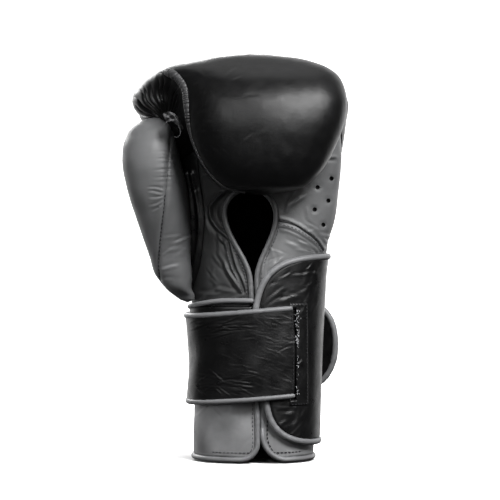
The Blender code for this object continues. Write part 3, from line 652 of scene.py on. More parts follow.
def ramp(nodes, source, low_value, high_value, start=0.3, stop=0.7):
    """Map a texture onto a range."""
    made = nodes.new("ShaderNodeMapRange")
    feed(made, {
        "Value": source, "From Min": start, "From Max": stop, "To Min": low_value,
        "To Max": high_value,
    })
    return made.outputs["Result"]


def bump(nodes, source, distance, strength, before=None):
    """Add a layer of fine relief."""
    made = nodes.new("ShaderNodeBump")
    feed(made, {"Height": source, "Distance": distance, "Strength": strength})
    if before is not None:
        feed(made, {"Normal": before})
    return made.outputs["Normal"]


def mix_colour(nodes, source, dark, light):
    """A colour between two, by a texture."""
    made = nodes.new("ShaderNodeMix")
    made.data_type = "RGBA"
    feed(made, {"A": (*dark, 1), "B": (*light, 1), "Factor": source})
    return made.outputs["Result"]


def leather(name, slot, dark, light, rough, grain=0.5, pebble=900.0, specular=0.35):
    """Leather: a pebbled grain, fine wrinkles, and a sheen that comes and goes."""
    material, nodes, shader = new_material(name, slot)
    cells = texture(nodes, "ShaderNodeTexVoronoi", pebble, feature="DISTANCE_TO_EDGE")
    wrinkles = texture(nodes, "ShaderNodeTexNoise", 260.0, 5.0, (1.0, 1.0, 2.2))
    patches = texture(nodes, "ShaderNodeTexNoise", 38.0, 4.0)
    rubbed = texture(nodes, "ShaderNodeTexNoise", 120.0, 3.0)
    pits = ramp(nodes, cells.outputs["Distance"], 0, 1, 0.0, 0.12)
    fine = bump(nodes, pits, 0.03 * MM, grain)
    feed(shader, {
        "Base Color": mix_colour(nodes, ramp(nodes, patches.outputs["Fac"], 0, 1), dark, light),
        "Roughness": ramp(nodes, rubbed.outputs["Fac"], *rough),
        "Specular IOR Level": specular,
        "Normal": bump(nodes, wrinkles.outputs["Fac"], 0.25 * MM, grain * 0.6, fine),
    })
    return material


def cloth(name, slot, dark, light, threads, rough=0.85, depth=0.12 * MM, specular=0.2):
    """Woven cloth: two crossing sets of threads."""
    material, nodes, shader = new_material(name, slot)
    warp = texture(nodes, "ShaderNodeTexWave", threads, 0.0, (1, 1, 0), bands_direction="X")
    weft = texture(nodes, "ShaderNodeTexWave", threads, 0.0, (0, 0, 1), bands_direction="Z")
    both = nodes.new("ShaderNodeMath")
    both.operation = "MULTIPLY"
    feed(both, {0: warp.outputs["Fac"], 1: weft.outputs["Fac"]})
    weave = both.outputs["Value"]
    feed(shader, {
        "Base Color": mix_colour(nodes, weave, dark, light),
        "Roughness": rough,
        "Specular IOR Level": specular,
        "Normal": bump(nodes, weave, depth, 0.8),
    })
    return material


def fuzz(name, slot, dark, light, grain):
    """Pile, tape or foam: a close-set speckle with depth."""
    material, nodes, shader = new_material(name, slot)
    specks = texture(nodes, "ShaderNodeTexNoise", grain, 3.0).outputs["Fac"]
    feed(shader, {
        "Base Color": mix_colour(nodes, ramp(nodes, specks, 0, 1), dark, light),
        "Roughness": 0.95,
        "Specular IOR Level": 0.15,
        "Normal": bump(nodes, specks, 0.4 * MM, 0.9),
    })
    return material


BLACK = leather(
    "smooth_black_leather", "black_leather", (0.0010, 0.0010, 0.0011), (0.0022, 0.0022, 0.0024),
    (0.32, 0.42), 0.30,
)
CREASED = leather(
    "creased_black_leather", "black_leather", (0.0012, 0.0012, 0.0013), (0.0030, 0.0030, 0.0032),
    (0.26, 0.42), 0.55,
)
# Black leather for the curled pad's rolled rim, made lighter to paint in the highlights along the roll.
SHEEN_ROLL = leather(
    "rolled_black_leather_painted_sheen", "black_leather", (0.0120, 0.0120, 0.0124), (0.0300, 0.0300, 0.0310),
    (0.36, 0.46), 0.50,
)
# Black leather for the thumb's tab, made lighter to paint in the grey highlights on its crumples.
SHEEN_TAB = leather(
    "tab_leather", "black_leather", (0.030, 0.030, 0.031), (0.065, 0.065, 0.067), (0.35, 0.5), 0.6,
)
# One grey leather in copies of different brightness, which paint in how light falls on each panel: the
# thumb's and the palm's are mid grey, and the cuff's is lighter, painted light.
THUMB_GREY = leather(
    "thumb_grey_leather", "grey_leather", (0.060, 0.061, 0.062), (0.095, 0.096, 0.098),
    (0.38, 0.52), 0.40,
)
PALM_GREY = leather(
    "palm_grey_leather", "grey_leather", (0.060, 0.061, 0.062), (0.105, 0.106, 0.108),
    (0.38, 0.52), 0.45,
)
GREY = leather(
    "grey_leather", "grey_leather", (0.095, 0.096, 0.098), (0.160, 0.161, 0.164),
    (0.40, 0.56), 0.40,
)
# The same grey leather made much darker: painted shade for the palm's thumb side, under the curled pad.
SHADED_GREY = leather(
    "painted_shade_grey_leather", "grey_leather", (0.012, 0.0122, 0.0126), (0.021, 0.0214, 0.0218),
    (0.44, 0.60), 0.45,
)
# The grey piping made darker for the opening's binding: painted shade.
SHADED_BOUND = leather(
    "opening_piping_painted_shade", "piping", (0.055, 0.0555, 0.057), (0.082, 0.083, 0.085),
    (0.38, 0.52), 0.35, 1300.0,
)
BOUND = leather(
    "grey_piping", "piping", (0.095, 0.096, 0.099), (0.130, 0.131, 0.135),
    (0.38, 0.52), 0.35, 1300.0,
)
# Black lining cloth, made darker still to paint in the shade inside the glove.
LINING = cloth(
    "lining_weave", "lining_cloth", (0.0012, 0.0012, 0.0014), (0.004, 0.004, 0.0045), 1600.0,
    specular=0.03,
)
THREAD = cloth(
    "grey_thread", "piping", (0.045, 0.045, 0.047), (0.11, 0.11, 0.115), 5200.0, 0.7, 0.05 * MM,
)
BLACK_THREAD = cloth(
    "black_thread", "black_leather", (0.008, 0.008, 0.009), (0.028, 0.028, 0.030), 5200.0, 0.6,
    0.05 * MM,
)
# A pale colour for the specks by the slot: painted glints.
GLINT_SPECKS = cloth(
    "painted_glint_specks", "piping", (0.25, 0.25, 0.26), (0.60, 0.60, 0.62), 5200.0, 0.4, 0.05 * MM,
)
FOAM = fuzz("dark_foam", "foam", (0.010, 0.010, 0.011), (0.022, 0.022, 0.023), 700.0)
LOOPS = fuzz("loop_pile", "loop_pile", (0.006, 0.006, 0.006), (0.020, 0.020, 0.021), 1800.0)
HOOKS = fuzz("hook_tape", "hook_tape", (0.005, 0.005, 0.005), (0.026, 0.026, 0.027), 1200.0)


# ---------------------------------------------------------------- lines and edges

def tube_line(heights, turns, out):
    """A line given by heights and turns laid on the tube, with the way out at each point."""
    points = on_tube(heights, turns, out)
    return points, unit(on_tube(heights, turns, out + MM) - points)


def front_line(path, out):
    """A line in the front view laid on the tube, with the way out at each point."""
    return tube_line(path[:, 1], front_turn(path[:, 1], path[:, 0]), out)


def resample(points, ups, step=1.0 * MM):
    """Even out the spacing of a line and of the ways out along it."""
    chord = chord_of(points)
    places = np.linspace(0, chord[-1], max(int(chord[-1] / step) + 1, 2))
    made = read_along(places, chord, np.column_stack([points, ups]))
    return made[:, :3], unit(made[:, 3:])


def beside_slit(height, side, beside=0.0):
    """The x of a line beside the opening."""
    return slit_middle(height) + side * (slit_half(height, side) + beside)


def opening_edge(side):
    """The turn of a leather's edge beside the opening, and above it the middle line."""
    def turn(height):
        reach = WINDOW_RADIUS + EDGE_GAP
        lift = np.clip((height - WINDOW_HEIGHT) / reach, 0.0, 1.0)
        below = slit_half(height, side) + EDGE_GAP
        half = np.where(lift > 0, reach * np.sqrt(1 - lift * lift), below)
        return front_turn(height, slit_middle(height) + side * np.maximum(half, 0.1 * MM))
    return turn


def lapped_edge(height):
    """The turn of the right cuff leather's edge, which laps over its binding below the strap."""
    lap = RIGHT_LAP * ease((height - 0.0180) / 0.0060) * ease((0.0700 - height) / 0.0100)
    return front_turn(height, beside_slit(height, 1, EDGE_GAP - lap))


def opening_heights(start, size, degrees):
    """Heights up the slit and round the top of the opening."""
    arc = WINDOW_HEIGHT + WINDOW_RADIUS * np.sin(np.radians(degrees))
    return np.concatenate([steps(start, WINDOW_HEIGHT, size), arc])


def seam_x(height):
    """The x of the thumb's seam."""
    return smooth(THUMB_SEAM, height)[..., 0]


def gusset_turn(height):
    """The turn where the thumb gusset meets the palm."""
    return front_turn(height, smooth(GUSSET_EDGE, height)[..., 0])


def heel_turn(height):
    """The turn of the seam above the heel of the palm."""
    return front_turn(height, smooth(HEEL_SEAM, height)[..., 0])


# ---------------------------------------------------------------- fist

FIST_PADS = (
    (KNUCKLE_PAD, None, KNUCKLE_TOP, 60, 96),
    (CURL_PAD, CURL_BOTTOM, CURL_TOP, 50, 72),
    (CROWN_PAD, None, CROWN_TOP, 24, 72),
)
FIST_SHRINK = -0.2 * MM
FIST_VOXEL = 2.2 * MM
PALM_CLEARANCE = 0.9 * MM
PLEAT_FOCUS = (-0.0500, 0.2475)
PLEAT_COUNT = 19
PLEAT_DEPTH = 2.1 * MM
CURL_RIM = (
    (-0.0560, -0.0320, 0.2856), (-0.0505, -0.0400, 0.2850), (-0.0450, -0.0480, 0.2800),
    (-0.0420, -0.0540, 0.2720), (-0.0408, -0.0560, 0.2630), (-0.0402, -0.0570, 0.2532),
    (-0.0386, -0.0570, 0.2437), (-0.0352, -0.0570, 0.2342), (-0.0303, -0.0570, 0.2250),
    (-0.0238, -0.0570, 0.2160), (-0.0150, -0.0565, 0.2055), (-0.0040, -0.0560, 0.1986),
    (0.0070, -0.0550, 0.1962),
)
CURL_GATHERS = 56


def pleats(points, normals):
    """The gathered leather beside the thumb: folds that fan out from where it is tied."""
    dx = points[:, 0] - PLEAT_FOCUS[0]
    dz = points[:, 2] - PLEAT_FOCUS[1]
    reach = np.hypot(dx, dz)
    angle = np.arctan2(dz, -dx - 0.15 * dz)
    wobble = 0.05 * np.sin(reach * 310 + 1.3) + 0.04 * np.sin(reach * 170)
    phase = (angle + wobble) / math.radians(195) * PLEAT_COUNT
    uneven = phase + 0.22 * np.sin(phase * 2.1 + 0.7)
    wave = 1 - np.abs(np.sin(math.pi * uneven)) ** 0.55
    strength = ease((reach - 0.001) / 0.009) * (1 - ease((reach - 0.021) / 0.015))
    strength = strength * ease((-0.0385 - points[:, 0]) / 0.006)
    strength = strength * ease((-normals[:, 1] + 0.25) / 0.4)
    return -PLEAT_DEPTH * wave * strength


def relax(spots, edges, weight, rounds):
    """Even out a mesh where a weight says, by moving each point towards its neighbours."""
    count = np.bincount(edges.ravel(), minlength=len(spots))[:, None]
    for _ in range(rounds):
        total = np.zeros_like(spots)
        for k in range(3):
            total[:, k] += np.bincount(edges[:, 0], spots[edges[:, 1], k], len(spots))
            total[:, k] += np.bincount(edges[:, 1], spots[edges[:, 0], k], len(spots))
        spots = spots + weight[:, None] * 0.6 * (total / count - spots)
    return spots


def melted_pads():
    """The pads of the fist melted into one form, with an even crown."""
    points, faces, start = [], [], 0
    for stations, bottom, top, rows, around in FIST_PADS:
        spots, pad_faces = blob(stations, bottom, top, rows, around, FIST_SHRINK)
        faces += [tuple(start + v for v in face) for face in pad_faces]
        if bottom is None:
            peak = start + len(spots) - 2
            faces = [face for face in faces if peak not in face]
            faces.append(tuple(range(start, start + around)))
        points.append(spots)
        start += len(spots)
    fist = tool("fist", np.concatenate(points), faces)
    melt = fist.modifiers.new("melt", "REMESH")
    melt.mode = "VOXEL"
    melt.voxel_size = FIST_VOXEL
    soften = fist.modifiers.new("soften", "SMOOTH")
    soften.factor = 0.5
    soften.iterations = 9
    refine = fist.modifiers.new("refine", "SUBSURF")
    refine.levels = 1
    apply_modifiers(fist)
    spots = read(fist.data.vertices, "co", 3)
    edges = read(fist.data.edges, "vertices", 2, np.int32)
    crown = ease((spots[:, 2] - 0.262) / 0.012)
    fist.data.vertices.foreach_set("co", relax(spots, edges, crown, 150).ravel())
    return fist


def divide_pleats(mesh):
    """Give the gathered corner of the fist a mesh fine enough for its pleats."""
    shape = bmesh.new()
    shape.from_mesh(mesh)
    corner = [
        edge for edge in shape.edges
        if all(v.co.x < -0.034 and v.co.z > 0.240 and v.co.y < 0.030 for v in edge.verts)
    ]
    bmesh.ops.subdivide_edges(shape, edges=corner, cuts=1, use_grid_fill=True, smooth=0.0)
    shape.to_mesh(mesh)
    shape.free()


def build_fist():
    """The padded leather over the knuckles and the curled fingers, as one stuffed form."""
    fist = melted_pads()
    palm_heights = np.concatenate([[-0.010], steps(0.100, 0.2505, 6 * MM)])
    palm = tube_tool(palm_heights, PALM_CLEARANCE, 0.017)
    carve(fist, palm, tube_tool(steps(0.090, CAVITY_TOP, 6 * MM), CAVITY_OUT))
    mesh = fist.data
    divide_pleats(mesh)
    spots = read(mesh.vertices, "co", 3)
    ways = read(mesh.vertex_normals, "vector", 3)
    away = pleats(spots, ways) + lumps(spots, 30 * MM, 0.35 * MM)
    away = away + lumps(spots, 8 * MM, 0.10 * MM, 5.0)
    beside_rim = ((-0.030, 0.198), (0.020, 0.285))
    crinkle = creases(spots[:, 0], spots[:, 2], 11, 26, beside_rim, 20, 35, 9 * MM, 0.16 * MM)
    away = away + crinkle * ease((-spots[:, 1] - 0.030) / 0.02)
    mesh.vertices.foreach_set("co", (spots + ways * away[:, None]).ravel())
    mesh.update()
    nodes = ("knuckle_shell", "curl_shell", "knuckle_foam", "curl_foam", "back_of_hand_foam")
    settle(fist, BLACK, "mitt", nodes)
    return BVHTree.FromObject(fist, bpy.context.evaluated_depsgraph_get())


def build_curl_rim(surface):
    """The rolled rim of the curled pad on its thumb side, gathered with small cross folds."""
    line = route(CURL_RIM, 0.33 * MM)
    laid = [surface.find_nearest(Vector(spot)) for spot in line]
    radius = 1.1 * MM + 2.4 * MM * ease((line[:, 2] - 0.222) / 0.045)
    line = np.array([
        spot + way * 0.5 * MM - way * 0.35 * size for (spot, way, _, _), size in zip(laid, radius)
    ])
    line[1:-1] = (line[:-2] + 2 * line[1:-1] + line[2:]) / 4
    along = np.linspace(0, 1, len(line))
    uneven = 1.9 * np.sin(along * 23) + 1.2 * np.sin(along * 61)
    gathers = np.abs(np.sin(along * math.pi * CURL_GATHERS + uneven)) ** 0.5
    strength = (0.17 + 0.07 * np.sin(along * 47)) * (1 - ease((along - 0.60) / 0.35))
    size = radius * (1 - strength + strength * gathers) * (0.3 + 0.7 * ease(along / 0.12))
    ups = np.broadcast_to((-0.6, -0.8, 0.0), line.shape)
    rings = sweep_points(line, size, size, ups, 20)
    # The rim's lighter leather is a painted highlight.
    piece("curl_rim", rings, ring_faces(len(rings), 20), SHEEN_ROLL, "mitt")


def build_lock_tab():
    """The crumpled tab that ties the thumb to the pad, and the loose end of its thread."""
    v, u = np.meshgrid(np.linspace(0, 1, 26), np.linspace(0, 1, 22), indexing="ij")
    x = -0.0505 + 0.0125 * u + 0.0010 * np.sin(v * 5)
    z = 0.2462 + 0.0070 * v - 0.0052 * u * u + 0.0025 * np.sin(u * 3.0)
    y = -0.0440 - 0.0030 * np.sin(math.pi * u) * (0.4 + 0.6 * v) + 0.0011 * np.sin(u * 13 + v * 6)
    y = y + 0.0008 * np.sin(v * 11 - u * 7)
    front = np.stack([x, y, z], axis=-1)
    back = front + np.array((0.0, LEATHER, 0.0))
    tab = sheet("thumb_lock_tab_leather", back, front, SHEEN_TAB, None, ("thumb_lock_tab",))
    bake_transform(tab)
    line = route((
        (-0.0400, -0.0465, 0.2440), (-0.0388, -0.0485, 0.2405), (-0.0392, -0.0490, 0.2378),
        (-0.0415, -0.0488, 0.2362), (-0.0432, -0.0480, 0.2366),
    ), 0.5 * MM)
    ups = np.broadcast_to((0.0, -1.0, 0.0), line.shape)
    piping("thumb_tie_thread", line, ups, 0.22 * MM, THREAD, "mitt", seed=3)


# ---------------------------------------------------------------- thumb

# Wrinkles that run into the thumb's seam: height, length, and how they climb.
THUMB_WRINKLES = (
    (0.1981, 0.0135, 0.19), (0.1962, 0.0130, 0.04), (0.1942, 0.0120, -0.20),
    (0.1914, 0.0115, -0.48), (0.1886, 0.0085, -0.70),
)
PUCKER_HEIGHT = 0.2145
PUCKER_DEPTH = 1.5 * MM


def thumb_relief(spots):
    """The sunk seam along the thumb, and the puckers and wrinkles that run into it."""
    x, y, z = spots[:, 0], spots[:, 1], spots[:, 2]
    gap = x - seam_x(z)
    front = ease((-y - 0.004) / 0.006)
    groove = -0.75 * MM * np.exp(-(gap / (1.0 * MM)) ** 2)
    plump = 0.35 * MM * np.exp(-((np.abs(gap) - 3.2 * MM) / (2.2 * MM)) ** 2)
    total = (groove + plump) * np.where(y < 0, front, 0.7)
    zone = np.exp(-((z - PUCKER_HEIGHT) / 0.0125) ** 4)
    rows = np.abs(np.sin((z - 0.06 * gap) * math.pi / (3.3 * MM) + 0.7 * np.sin(z * 420)))
    reach = np.where(gap < 0, np.exp(-(gap / (6.5 * MM)) ** 2), np.exp(-(gap / (3.5 * MM)) ** 2))
    uneven = 0.6 + 0.4 * np.sin(z * 1300 + 2.0 * np.sin(z * 370))
    total += -PUCKER_DEPTH * uneven * (1 - rows ** 0.6) * zone * reach * front
    for height, length, rise in THUMB_WRINKLES:
        off = z - (height - rise * gap + 0.5 * MM * np.sin(gap * 500 + height * 9000))
        share = np.clip(-gap / length, 0, 1)
        here = np.sin(math.pi * share) ** 0.7 * (gap < 0)
        beside = np.exp(-((off - 1.1 * MM) / (0.6 * MM)) ** 2)
        fold = 0.6 * np.exp(-(off / (0.8 * MM)) ** 2) - beside
        total += 0.8 * MM * fold * here * front
    low = ((-0.052, 0.128), (-0.035, 0.165))
    total += creases(x, z, 23, 10, low, 25, 14, 12 * MM, 0.35 * MM) * front
    return total + lumps(spots, 26 * MM, 0.5 * MM, 9.0) + lumps(spots, 7 * MM, 0.07 * MM, 2.0)


def build_thumb():
    """The two leather sides of the thumb, meeting at a sunk seam."""
    spots, faces = blob(THUMB_PAD, THUMB_BOTTOM, THUMB_TOP, 200, 168)
    form = tool("thumb_form", spots, faces)
    ways = read(form.data.vertex_normals, "vector", 3)
    spots = spots + ways * thumb_relief(spots)[:, None]
    bpy.data.objects.remove(form, do_unlink=True)
    halves = (
        ("thumb_outer_leather", 1, ("thumb_outer_shell", "thumb_foam")),
        ("thumb_inner_leather", -1, ("thumb_inner_shell",)),
    )
    for name, side, nodes in halves:
        half = tool(name, spots, faces)
        rise = np.concatenate([[0.10], steps(0.119, 0.256, 3 * MM), [0.28]])
        edge = [(float(seam_x(z)) - side * 0.05 * MM, float(z)) for z in rise]
        outline = edge + [(0.1 * side, 0.28), (0.1 * side, 0.10)]
        hand = tube_tool(steps(0.090, 0.262, 6 * MM), 1.0 * MM)
        carve(half, prism("thumb_side", outline, -0.1, 0.1), hand)
        settle(half, THUMB_GREY, "thumb", nodes)
    heights = steps(0.1330, 0.1960, 0.8 * MM)
    left, right, front, back = np.moveaxis(smooth(THUMB_PAD, heights), -1, 0)
    x = seam_x(heights)
    across = np.clip((x - (left + right) / 2) / ((right - left) / 2), -0.98, 0.98)
    deep = (back - front) / 2 * (1 - np.abs(across) ** PAD_POWER) ** (1 / PAD_POWER)
    line = np.stack([x, (front + back) / 2 - deep + 0.45 * MM, heights], axis=1)
    ups = np.stack([across * 0.7, -np.sqrt(1 - 0.49 * across * across), 0 * across], axis=1)
    stitches("thumb_seam_stitches", line, ups, BLACK_THREAD, "thumb", thick=0.42 * MM)


# ---------------------------------------------------------------- palm

# Folds of the palm in the front view, as x and height.
SECOND_RIDGE = route((
    (-0.0060, 0.1985), (-0.0125, 0.1940), (-0.0169, 0.1888), (-0.0178, 0.1820),
    (-0.0127, 0.1719), (-0.0042, 0.1643), (0.0000, 0.1600),
))
INNER_FOLD = route(((-0.0127, 0.1690), (-0.0093, 0.1622), (-0.0042, 0.1609)))
STITCHED_SEAM = route((
    (-0.0052, 0.1625), (-0.0040, 0.1560), (-0.0022, 0.1490),
    (0.0006, 0.1406), (0.0046, 0.1322), (0.0074, 0.1235),
))
LONG_FOLD = route(((-0.0082, 0.1500), (-0.0050, 0.1398), (0.0005, 0.1313), (0.0058, 0.1225)))
HEEL_LINE = route([(x, z) for z, x in HEEL_SEAM])
HEEL_FOLD = route((
    (0.0250, 0.1700), (0.0225, 0.1600), (0.0210, 0.1500), (0.0200, 0.1390), (0.0205, 0.1300),
))
VENTED_PLEAT = route(((0.0330, 0.2235), (0.0480, 0.2225), (0.0620, 0.2232), (0.0760, 0.2240)))
FIRST_RIB = route((
    (-0.0355, 0.2150), (-0.0338, 0.2050), (-0.0322, 0.1924), (-0.0313, 0.1776),
    (-0.0317, 0.1591), (-0.0335, 0.1406), (-0.0345, 0.1290),
))
SECOND_RIB = route((
    (-0.0320, 0.2150), (-0.0300, 0.2050), (-0.0276, 0.1924), (-0.0258, 0.1776),
    (-0.0262, 0.1591), (-0.0290, 0.1406), (-0.0325, 0.1290),
))


def vent_edges(x, z):
    """The sunk edge of each vent."""
    reaches = [np.hypot(x - vent_x, z - vent_z) for vent_x, vent_z in VENTS]
    return -0.45 * MM * sum(np.exp(-((reach - 1.9 * MM) / (1.1 * MM)) ** 2) for reach in reaches)


# Each ridge has a line, width, rise and how much of its length fades out at each end. Each row of
# creases has a seed, count, area, lean, spread of lean, length and rise.
PALM_RELIEF = folded((
    (SECOND_RIDGE, 1.3 * MM, 2.6 * MM, 0.12),
    (SECOND_RIDGE + (0.0042, 0.0), 2.0 * MM, -1.3 * MM),
    (SECOND_RIDGE + (-0.0030, -0.0010), 1.6 * MM, -0.9 * MM),
    (INNER_FOLD, 1.3 * MM, 1.6 * MM, 0.3),
    (STITCHED_SEAM, 0.8 * MM, -1.5 * MM, 0.1),
    (STITCHED_SEAM + (0.0017, 0.0), 1.0 * MM, 1.2 * MM, 0.1),
    (STITCHED_SEAM + (-0.0020, 0.0), 1.2 * MM, 1.1 * MM, 0.1),
    (LONG_FOLD, 1.2 * MM, 2.2 * MM, 0.3),
    (LONG_FOLD + (-0.0026, -0.0006), 1.5 * MM, -0.6 * MM, 0.3),
), (
    (31, 14, ((-0.026, 0.126), (0.002, 0.175)), 118, 16, 12 * MM, 0.65 * MM),
    (32, 8, ((-0.026, 0.118), (0.004, 0.127)), 8, 8, 14 * MM, 0.7 * MM),
    (33, 9, ((-0.022, 0.205), (0.000, 0.222)), 20, 22, 7 * MM, 0.35 * MM),
))
VENTED_RELIEF = folded((
    (VENTED_PLEAT, 1.4 * MM, 1.1 * MM, 0.1),
    (VENTED_PLEAT + (0.0, -0.0024), 1.2 * MM, -0.8 * MM, 0.1),
    (HEEL_LINE + (0.0, 0.0022), 1.3 * MM, 0.8 * MM, 0.0),
), (
    (41, 12, ((0.033, 0.180), (0.056, 0.215)), 70, 25, 11 * MM, 0.60 * MM),
    (42, 6, ((0.050, 0.160), (0.072, 0.172)), -25, 20, 9 * MM, 0.50 * MM),
), vent_edges)
HEEL_RELIEF = folded((
    (HEEL_LINE + (0.0, -0.0026), 1.4 * MM, 0.9 * MM, 0.0),
    (HEEL_LINE + (-0.0006, -0.0060), 1.1 * MM, 0.5 * MM, 0.1),
    (HEEL_FOLD, 1.1 * MM, 0.8 * MM, 0.2),
    (HEEL_FOLD + (0.0030, 0.0), 1.0 * MM, -0.7 * MM, 0.2),
), (
    (51, 12, ((0.020, 0.132), (0.036, 0.168)), 65, 22, 9 * MM, 0.40 * MM),
    (52, 8, ((0.030, 0.150), (0.060, 0.168)), -30, 18, 12 * MM, 0.35 * MM),
))
GUSSET_RELIEF = folded((
    (FIRST_RIB, 1.3 * MM, 2.4 * MM, 0.05),
    (SECOND_RIB, 1.5 * MM, 2.4 * MM, 0.05),
), (
    (61, 8, ((-0.038, 0.190), (-0.026, 0.235)), 60, 20, 8 * MM, 0.3 * MM),
))


def build_palm():
    """The leather of the palm, either side of the opening, and the gusset to the thumb."""
    tall = np.concatenate([steps(CUFF_SEAM, 0.196), steps(0.1965, PALM_TOP, 0.8 * MM)])
    # The thumb side of the palm takes the darker grey: painted shade.
    skin(
        "palm_thumb_side_leather", tall, gusset_turn, opening_edge(-1), 52,
        PALM_RELIEF, SHADED_GREY, "mitt", ("palm_panel_thumb_side",),
    )
    skin(
        "thumb_gusset_leather", steps(0.1225, PALM_TOP), -SIDE, gusset_turn, 44,
        GUSSET_RELIEF, CREASED, "mitt", ("thumb_gusset",),
    )
    heel_side, heel_top = HEEL_SEAM[0][0], HEEL_SEAM[-1][0]
    skin(
        "palm_heel_leather", steps(CUFF_SEAM, 0.1762, 0.9 * MM), opening_edge(1),
        lambda h: np.where(h < heel_side, SIDE, heel_turn(h)), 56,
        HEEL_RELIEF, PALM_GREY, "mitt", ("palm_panel_heel",),
    )
    vented = skin(
        "palm_vented_leather", steps(heel_side, PALM_TOP, 0.8 * MM),
        lambda h: np.where(h < heel_top, heel_turn(h), opening_edge(1)(h)), SIDE, 64,
        VENTED_RELIEF, PALM_GREY, "mitt", ("palm_panel_vented",),
    )
    punches = []
    circle = VENT_RADIUS * np.stack([np.cos(full_turn(28)), np.sin(full_turn(28))], axis=1)
    for x, z in VENTS:
        depth = on_front(np.array([x]), np.array([z]))[0, 1]
        rings = [[(x + across, depth + y, z + up) for across, up in circle] for y in (-0.004, 0.004)]
        punches.append(tool("punch", rings, ring_faces(2, 28)))
    carve(vented, *punches)
    for number, offset in enumerate((1.6 * MM, -1.92 * MM)):
        seam = front_line(HEEL_LINE + (0.0, offset), 0.75 * MM)
        stitches(f"heel_seam_stitches_{number + 1}", *seam, THREAD, "mitt")
    fold = front_line(STITCHED_SEAM + (-0.0019, 0.0), 0.9 * MM)
    stitches("palm_fold_stitches", *fold, THREAD, "mitt", 1.6 * MM, 2.5 * MM, 0.3 * MM)
    heights = steps(0.1230, 0.1760)
    for name, side in (("left", -1), ("right", 1)):
        path = np.stack([beside_slit(heights, side, 3.2 * MM), heights], axis=1)
        stitches(
            f"opening_stitches_{name}", *front_line(path, 0.5 * MM), THREAD, "mitt",
            1.8 * MM, 2.7 * MM, 0.34 * MM,
        )


def build_bindings():
    """The rounded bindings that edge the opening, the slit and the cuff."""
    rise = opening_heights(0.1185, 1.0 * MM, np.arange(2, 91, 3))
    left, right = (np.stack([beside_slit(rise, side), rise], axis=1) for side in (-1, 1))
    edge = resample(*front_line(np.concatenate([left, right[-2::-1]]), 0.7 * MM))
    piping(
        "opening_edge_binding", *edge, BINDING_RADIUS, SHADED_BOUND, "mitt", ("opening_binding",),
        seed=5,
    )
    fall = np.concatenate([steps(0.0465, 0.0225), steps(0.0220, 0.0029, 0.4 * MM)])
    left, right = (front_turn(fall, beside_slit(fall, side)) for side in (-1, 1))
    turns = np.arange(right[-1] + 0.03, 2 * math.pi + left[-1] - 0.03, 0.03)
    heights = np.concatenate([fall, np.full(len(turns), HEM_HEIGHT), fall[::-1]])
    around = np.concatenate([right, turns, 2 * math.pi + left[::-1]])
    sunk = -0.9 * MM * ease((0.0100 - fall) / 0.0070)
    tucked = sunk - 2.4 * MM * ease((fall - 0.0200) / 0.0060)
    hem = np.full(len(turns), -0.9 * MM)
    out = 0.2 * MM + np.concatenate([tucked, hem, sunk[::-1]])
    edge = resample(*tube_line(heights, around, out))
    nodes = ("cuff_hem_binding", "slit_binding_left", "slit_binding_right")
    piping(
        "cuff_edge_binding", *edge, EDGE_RADIUS, BOUND, "mitt", nodes, 1.15, seed=6, wrinkle=0.04,
    )


# ---------------------------------------------------------------- cuff and lining

def cuff_relief(seed, lean):
    """Gentle dents and folds of the cuff leather."""
    def dents(x, z):
        return 0.8 * MM * np.sin(x * 190 + seed) * np.sin(z * 150 + 0.6 * seed)
    area = ((-0.026, 0.010), (0.052, 0.050))
    return folded((), ((seed, 9, area, lean, 22, 16 * MM, 0.30 * MM),), dents)


def build_cuff():
    """The leather round the cuff, and the loop pile on its back."""
    front = steps(4.0 * MM, CUFF_SEAM)
    # Both cuff panels take the lighter grey: painted light.
    skin(
        "cuff_left_leather", front, -SIDE, opening_edge(-1), 64,
        cuff_relief(3, 65), GREY, "mitt", ("cuff_panel_left",),
    )
    skin(
        "cuff_right_leather", front, lapped_edge, SIDE, 64,
        cuff_relief(8, 40), GREY, "mitt", ("cuff_panel_right",),
    )
    back_area = ((-0.030, 0.010), (0.058, 0.110))
    skin(
        "cuff_back_leather", steps(4.0 * MM, CUFF_TOP, 1.5 * MM), SIDE, 2 * math.pi - SIDE, 110,
        folded((), ((71, 22, back_area, 80, 30, 16 * MM, 0.3 * MM),)),
        CREASED, "mitt", ("cuff_panel_back",),
    )
    heights = steps(0.0440, 0.0100, 0.5 * MM)
    for name, side, thread, reach in (("left", -1, THREAD, 30), ("right", 1, BLACK_THREAD, 22)):
        x = beside_slit(heights, side, 3.4 * MM)
        along_hem = [(x[-1] + side * step * MM, 0.0078) for step in range(1, reach)]
        path = np.concatenate([np.stack([x, heights], axis=1), along_hem])
        seam = resample(*front_line(path, 0.35 * MM))
        stitches(f"cuff_stitches_{name}", *seam, thread, "mitt", thick=0.4 * MM)
    skin(
        "loop_pile_patch", steps(0.052, 0.108, 2 * MM), math.radians(148), math.radians(214), 36,
        lambda x, z: 0.12 * MM * np.sin(x * 2600) * np.sin(z * 2600),
        LOOPS, "mitt", ("loop_patch",), 1.4 * MM, 1.0 * MM, 0.6 * MM,
    )


def slit_tool(low_end):
    """A prism through the palm side with the outline of the opening."""
    heights = opening_heights(low_end, 2 * MM, np.arange(5, 90, 6))
    half = slit_half(np.maximum(heights, 0.024))
    left = np.stack([slit_middle(heights) - half, heights], axis=1)
    right = np.stack([slit_middle(heights) + half, heights], axis=1)
    return prism("slit", np.concatenate([left, right[::-1]]).tolist(), -0.060, 0.004)


def tunnel_tool():
    """The way through to the thumb's stall."""
    deep, height = TUNNEL_PLACE
    rings = [
        [(x, deep + TUNNEL_RADIUS * math.cos(t), height + TUNNEL_RADIUS * math.sin(t))
         for t in full_turn(32)]
        for x in (-0.060, -0.010)
    ]
    return tool("tunnel", rings, ring_faces(2, 32))


